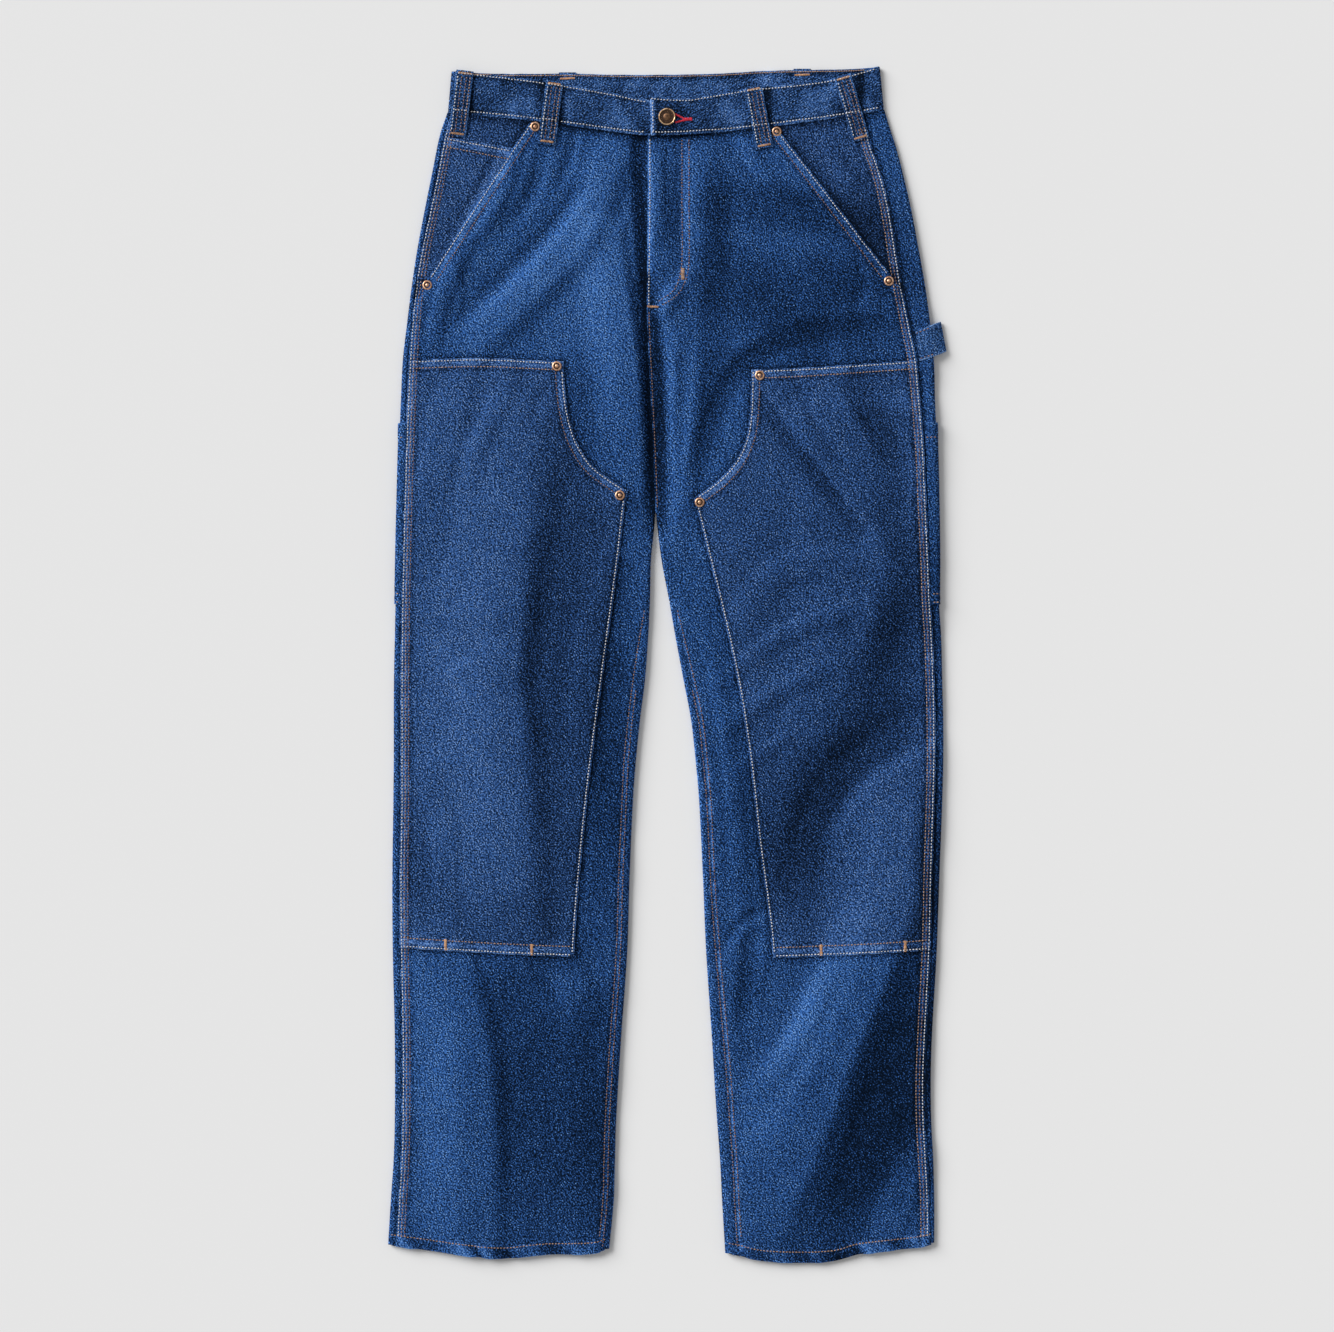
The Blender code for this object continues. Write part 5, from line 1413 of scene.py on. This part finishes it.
def button_parts():
    """A tack button: a rolled rim, a sunk ring of small raised marks and a domed centre."""
    rim = [
        (6.2, -0.9), (7.6, -0.7), (8.3, -0.1), (8.6, 0.8), (8.45, 1.7), (8.1, 2.2), (7.7, 2.3), (7.3, 2.1),
        (7.05, 1.6), (6.8, 1.35), (4.0, 1.3), (3.5, 1.4), (3.1, 1.7), (2.3, 1.9), (1.2, 2.05), (0.15, 2.1),
    ]
    vertices, faces = lathe(rim, 64)
    looks = [0 if index < 8 * 64 else 1 if index < 11 * 64 else 2 for index in range(len(faces))]
    parts = [(vertices, [face for face, mark in zip(faces, looks) if mark == look], look) for look in (0, 1, 2)]
    for step in range(18):
        turn = 2 * math.pi * step / 18
        wide = 0.46 if step % 3 else 0.3
        dot, dot_faces = lathe([(wide, 1.2), (wide, 1.5), (wide * 0.7, 1.72), (0.08, 1.78)], 10)
        moved = [(x + 5.4 * math.cos(turn), y + 5.4 * math.sin(turn), z) for x, y, z in dot]
        parts.append((moved, dot_faces, 2))
    return parts


def build():
    body = denim("denim_body_look", 0.0, (1.10, 1.02, 1.02), 0.385)
    patch = denim("denim_patch_look", 0.0, (1.36, 1.04, 0.97), 0.38)
    band = denim("denim_band_look", math.pi / 2, (1.38, 1.05, 0.96), 0.40)
    loops = denim("denim_loop_look", 0.1, (1.35, 1.04, 0.93), 0.43)
    inside = denim("denim_inside_look", 0.0, (1.40, 1.03, 0.95), 0.38)
    threads = {name: thread_look("thread_" + name, *colours) for name, colours in THREADS.items()}
    copper, brass, dark, dull = (metal(*row) for row in METALS)

    right = Leg(
        "right", -1, RIGHT_EDGES, RIGHT_LINES, RIGHT_PATCH_EDGE, RIGHT_PATCH_SIDE, RIGHT_CORNER_ROW,
        RIGHT_MOUTH, RIGHT_MOUTH_ROW,
    )
    left = Leg(
        "left", 1, LEFT_EDGES, LEFT_LINES, LEFT_PATCH_EDGE, LEFT_PATCH_SIDE, LEFT_CORNER_ROW,
        LEFT_MOUTH, LEFT_MOUTH_ROW,
    )
    made = {}

    def lay(name, points, outward, look, thickness=CLOTH, wear=None, fade=None, cut=None):
        piece = cloth_shell(name + "_look", points, outward, look, thickness, wear, fade)
        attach(piece, "root")
        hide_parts(name)
        cut = CUTS[cut or name]
        made[name] = (piece, cut)
        return piece

    for leg in (right, left):
        must = (BAND_LINE, leg.mouth_row, PATCH_TOP, TOOL_POCKET_TOP, CROTCH, TOOL_POCKET_FOOT)
        rims = ((0.0, 1.0, 2.2, 4.0), (0.0, 0.5, 1.1, 2.0, 3.2, 5.0, 7.0, 9.2, 10.2, 10.9, 11.6, 12.6, 14.0))
        nominals = rows_between(BAND_LINE, HEM, rims, PITCH, must)
        points, wear, fade = front_points(leg, nominals)
        lay("front_" + leg.side, points, 1, body, wear=wear, fade=fade)
        points, wear, fade = back_points(leg, nominals)
        lay("back_" + leg.side, points, leg.outward, body, wear=wear, fade=fade)
        laid, wear, fade = tool_pocket_points(leg, points, nominals)
        lay("tool_pocket_" + leg.side, laid, leg.outward, body, wear=wear, fade=fade)
        points, wear, fade = facing_points(leg)
        lay("pocket_facing_" + leg.side, points, 1, inside, wear=wear, fade=fade)
        points, wear, fade = patch_points(leg)
        lay("knee_patch_" + leg.side, points, 1, patch, wear=wear, fade=fade)
    points, wear, fade = coin_points(right)
    lay("coin_pocket", points, 1, inside, wear=wear, fade=fade)
    points, wear, fade = band_points()
    lay("waistband", points, 1, band, BAND_CLOTH, wear, fade)
    panels = tree_of([piece for piece, _ in made.values()])
    for loop in FRONT_LOOPS:
        points, wear, fade = loop_points(panels, loop)
        lay(loop.name, points, 1, loops, wear=wear, fade=fade, cut="belt_loop")
    for loop in BACK_LOOPS:
        y = np.linspace(loop.top_down, loop.foot_down, 22)[:, None]
        x = loop.top_across + np.linspace(-0.5, 0.5, 9)[None, :] * LOOP_WIDTH
        points = np.stack([x + 0 * y, y + 0 * x, CLOTH / 2 + 0 * (x + y)], -1)
        lay(loop.name, points, 1, loops, cut="belt_loop_back")
    points, wear, fade = hammer_points()
    lay("hammer_loop", points, 1, loops, wear=wear, fade=fade)

    sewing = Sewing(tree_of([piece for piece, _ in made.values()]))
    sew_all(sewing, right, left)
    stitched = []
    for group in sewing.held:
        piece = sewing.make(group, threads[group.split("_")[-1]])
        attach(piece, "root")
        stitched.append(piece)

    rng = np.random.default_rng(3)
    ring = np.linspace(0, 2 * np.pi, 9)[:-1]
    for rivet in RIVETS:
        heights = [
            drop(sewing.tree, rivet.across + 4.2 * math.cos(t), rivet.down + 4.2 * math.sin(t))[0].z for t in ring
        ]
        base = float(np.mean(heights))
        parts = rivet_parts(rng)
        piece = set_in_place(rivet.name + "_look", rivet.across, rivet.down, base, parts, (copper, dark))
        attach(piece, "root")
        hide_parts(rivet.name)
    across, down = BUTTON_PLACE
    heights = [drop(sewing.tree, across + 7 * math.cos(t), down + 7 * math.sin(t))[0].z for t in ring]
    piece = set_in_place("button_look", across, down, max(heights) + 0.3 * MM, button_parts(), (brass, dark, dull))
    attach(piece, "root")
    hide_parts("button")

    corners = FLOOR_HALF * np.array([(-1, -1, 0), (1, -1, 0), (1, 1, 0), (-1, 1, 0)], float)
    floor_mesh = quads_mesh("floor", corners, [(0, 1, 2, 3)])
    floor_look, shader, _ = new_material("pale_floor", 0.9)
    shader.inputs["Base Color"].default_value = (0.775, 0.775, 0.775, 1)
    floor_mesh.materials.append(floor_look)
    link(floor_mesh, "floor")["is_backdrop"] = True
    for name, (piece, cut) in made.items():
        rests = [made[rest][0].name if rest in made else rest for rest in cut.rests]


def sew_leg(sewing, leg):
    """Lays the rows of sewing of one leg and its pockets and patch."""
    way = leg.outward
    seam = lambda at: leg.read("outer_seam", at)
    mouth = along(leg.mouth_across, leg.mouth[0][1] + 4, leg.mouth[1][1] - 5)
    for distance, thread in ((ROW_NEAR, "pale"), (ROW_FAR, "brown")):
        sewing.row("body_" + thread, beside(mouth, distance * way), TAN)
    rows = ((ROW_NEAR, "pale"), (5.0, "tan"), (ROW_FAR, "brown"))
    if way > 0:
        rows = ((ROW_NEAR, "pale"), (5.0, "brown"), (ROW_FAR, "tan"))
    for distance, thread in rows:
        line = along(lambda at: seam(at) - way * distance, BAND_LINE + 4, HEM - 14)
        sewing.row("body_" + thread, line, TAN)
    inner = lambda at: leg.read("inner_edge", at) + way * (leg.read("seam_in", at) + ROW_NEAR)
    sewing.row("body_brown", along(inner, 610, HEM - 14), TAN)
    under = lambda at: leg.read("inner_edge", at) + way * (leg.read("seam_in", at) - ROW_NEAR - 0.6)
    sewing.row("body_brown", along(under, 690, HEM - 4), TAN)
    outer_at, inner_at = seam(362.0), smooth_read(leg.patch_edge, 362.0)
    for lower, group, thread in ((ROW_NEAR, "patch_pale", PALE), (ROW_FAR, "patch_tan", TAN)):
        line = across_line(leg, PATCH_TOP, outer_at - way * 3, inner_at + way * 3, lower)
        sewing.row(group, line, thread)
    corner = leg.patch_edge[-1][0]
    curve = along(lambda at: smooth_read(leg.patch_edge, at), 372, corner - 3, 3)
    for distance, thread in ((ROW_NEAR, "pale"), (ROW_FAR, "brown")):
        sewing.row("patch_" + thread, beside(curve, -way * distance), TAN)
    side = along(lambda at: smooth_read(leg.patch_side, at), corner + 9, PATCH_FOOT)
    sewing.row("patch_pale", beside(side, ROW_NEAR * (-way)), PALE)
    outer_at, inner_at = seam(952.0), smooth_read(leg.patch_side, 955.0)
    for lower, group, thread in ((-ROW_NEAR, "patch_pale", PALE), (-FOOT_ROW, "patch_tan", TAN)):
        line = across_line(leg, PATCH_FOOT, outer_at - way * 3, inner_at + way * 3, lower)
        sewing.row(group, line, thread)
    edge = leg.read("inner_edge", HEM)
    line = across_line(leg, HEM, leg.read("outer_edge", HEM) - way * 3, edge + way * 3, -HEM_DEEP + 1.2)
    sewing.row("body_tan", line, TAN)
    sewing.row("under_tan", line, TAN, False)
    low, high = TOOL_POCKET_TOP + POCKET_HEM, TOOL_POCKET_FOOT - ROW_NEAR
    for row in (low, high, TOOL_POCKET_FOOT - ROW_FAR - 2):
        start = leg.read("outer_seam", row) + way * 2
        sewing.row("body_tan", across_line(leg, row, start, leg.read("outer_edge", row)), TAN)
        stop = leg.read("outer_edge", row) - way * (TOOL_POCKET_REACH + 2)
        sewing.row("under_tan", across_line(leg, row, leg.read("outer_edge", row) - way * 4, stop), TAN, False)
    reach = lambda at: leg.read("outer_edge", at) - way * TOOL_POCKET_REACH
    sewing.row("under_tan", along(reach, TOOL_POCKET_TOP + 2, TOOL_POCKET_FOOT - 2), TAN, False)


def sew_seat_and_coin(sewing):
    """Lays the rows of the back's middle seam and of the small pocket's top."""
    for distance in (ROW_NEAR, -ROW_NEAR, ROW_FAR):
        seat = along(lambda at: smooth_read(BACK_MIDDLE, at) + distance, 122, CROTCH - 4)
        sewing.row("under_tan", seat, TAN, False)

    (x0, y0), (x1, y1) = COIN_TOP
    for lower, thread in ((ROW_NEAR, "pale"), (FOOT_ROW, "tan")):
        sewing.row("body_" + thread, ((x0 + 2, y0 + lower), (x1 - 3, y1 + lower)), TAN)


def sew_band(sewing):
    """Lays the two rows of the waistband, outside and inside, and the row at its end."""
    rows, at, _ = even_stations(BAND_STATIONS, BAND_STEP)
    front = (rows[:, 4] > 4.5) & (at > 54)
    top, foot = rows[:, :2], rows[:, 2:4]
    inset = (foot - top) / np.linalg.norm(foot - top, axis=1, keepdims=True)
    back_run = rows[:, 4] < 1.05
    for lines, shift in ((top, ROW_NEAR), (foot, -ROW_NEAR - 0.4)):
        line = lines + inset * shift
        index = np.where(front)[0]
        cut = np.where(np.diff(index) > 1)[0]
        for run in np.split(index, cut + 1):
            sewing.row("band_pale", line[run], PALE)
        index = np.where(back_run)[0]
        sewing.row("under_tan", line[index], TAN, False)
        if shift > 0:
            sewing.row("band_tan", line[index], CLOSE)
    end = rows[-1]
    sewing.row("band_pale", ((end[0] + 2.0, end[1] + 5), (end[2] + 2.0, end[3] - 2)), PALE)


def sew_fly(sewing):
    """Lays the curved and straight rows of the fly and its two bartacks."""
    for distance, lower_end in ((0.0, 0.0), (-7.0, -2.0)):
        curve = [(x + distance, y) for x, y in FLY_SEWING[:-2]]
        curve += [(x + distance * 0.55, y + lower_end * 2) for x, y in FLY_SEWING[-2:]]
        xs = smooth_read([(y, x) for x, y in curve], np.linspace(curve[0][1], curve[-1][1], 60))
        sewing.row("body_brown", np.stack([xs, np.linspace(curve[0][1], curve[-1][1], 60)], -1), TAN)
    fly_edge = along(lambda at: smooth_read(FRONT_MIDDLE, at) + 1.9, 140, 306)
    sewing.row("body_pale", fly_edge, PALE)
    sewing.row("body_brown", along(lambda at: smooth_read(FRONT_MIDDLE, at) + 2.0, 312, CROTCH - 8), TAN)
    sewing.bar("bars_tan", (682.8, 269.0), (682.8, 280.5), 4.4, BAR)
    sewing.bar("bars_rust", (647.5, 307.0), (658.5, 307.4), 2.8, BAR)


def sew_bars_and_loops(sewing):
    """Lays the bartacks of the patches, all sewing of the loops, and the buttonhole."""
    for across, down in PATCH_BARS:
        sewing.bar("bars_orange", (across, down - 5.5), (across + 0.3, down + 5.5), 3.4, BAR)
    for loop in FRONT_LOOPS:
        run = np.array((loop.foot_across - loop.top_across, loop.foot_down - loop.top_down))
        run /= np.linalg.norm(run)
        side = np.array((-run[1], run[0]))
        for place, along_by in (((loop.top_across, loop.top_down), 2.6), ((loop.foot_across, loop.foot_down), -2.8)):
            centre = np.array(place) + run * along_by
            sewing.bar("bars_rust", centre - side * 6.4, centre + side * 6.4, 2.6, BAR)
        for offset, thread in ((-6.2, "tan"), (-2.4, "brown"), (2.4, "brown"), (6.2, "pale")):
            start = np.array((loop.top_across, loop.top_down)) + run * 5.5 + side * offset
            stop = np.array((loop.foot_across, loop.foot_down)) - run * 5.5 + side * offset
            sewing.row("loops_" + thread, (start, stop), PALE if thread == "pale" else TAN)
    for loop, down in zip(BACK_LOOPS, BACK_LOOP_BARS):
        sewing.bar("bars_orange", (loop.top_across - 7.5, down), (loop.top_across + 7.5, down - 0.6), 2.4, BAR)
    for line, inward in HAMMER_SEWING:
        sewing.row("loops_brown", np.array(line) + (0.0, inward), TAN)
    for start, stop, wide in BUTTONHOLE:
        sewing.bar("bars_red", start, stop, wide, BAR)


def sew_all(sewing, right, left):
    """Lays every row of sewing and every bartack."""
    sew_leg(sewing, right)
    sew_leg(sewing, left)
    sew_seat_and_coin(sewing)
    sew_band(sewing)
    sew_fly(sewing)
    sew_bars_and_loops(sewing)


def light_and_camera():
    """One soft sun from the upper left, an even white world, and a camera straight above."""
    scene = bpy.context.scene
    key = bpy.data.lights.new("key", "SUN")
    key.energy = KEY_ENERGY
    key.angle = math.radians(KEY_SPREAD)
    lamp = bpy.data.objects.new("key", key)
    rise, turn = math.radians(KEY_RISE), math.radians(KEY_TURN)
    toward = Vector((math.cos(rise) * math.cos(turn), math.cos(rise) * math.sin(turn), math.sin(rise)))
    lamp.rotation_euler = toward.to_track_quat("Z", "Y").to_euler()
    scene.collection.objects.link(lamp)
    world = bpy.data.worlds.new("studio")
    world.use_nodes = True
    world.node_tree.nodes["Background"].inputs["Color"].default_value = (1.0, 1.0, 1.0, 1)
    world.node_tree.nodes["Background"].inputs["Strength"].default_value = WORLD_STRENGTH
    scene.world = world
    camera = bpy.data.objects.new("camera", bpy.data.cameras.new("camera"))
    camera.data.sensor_width = SENSOR
    camera.data.lens = SENSOR * CAMERA_HIGH / FRAME_WIDE
    camera.location = (0.0, -0.0015, CAMERA_HIGH)
    scene.collection.objects.link(camera)
    scene.camera = camera
    scene.view_settings.view_transform = "Standard"


build()
light_and_camera()
shown = [list(corner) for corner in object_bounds()]
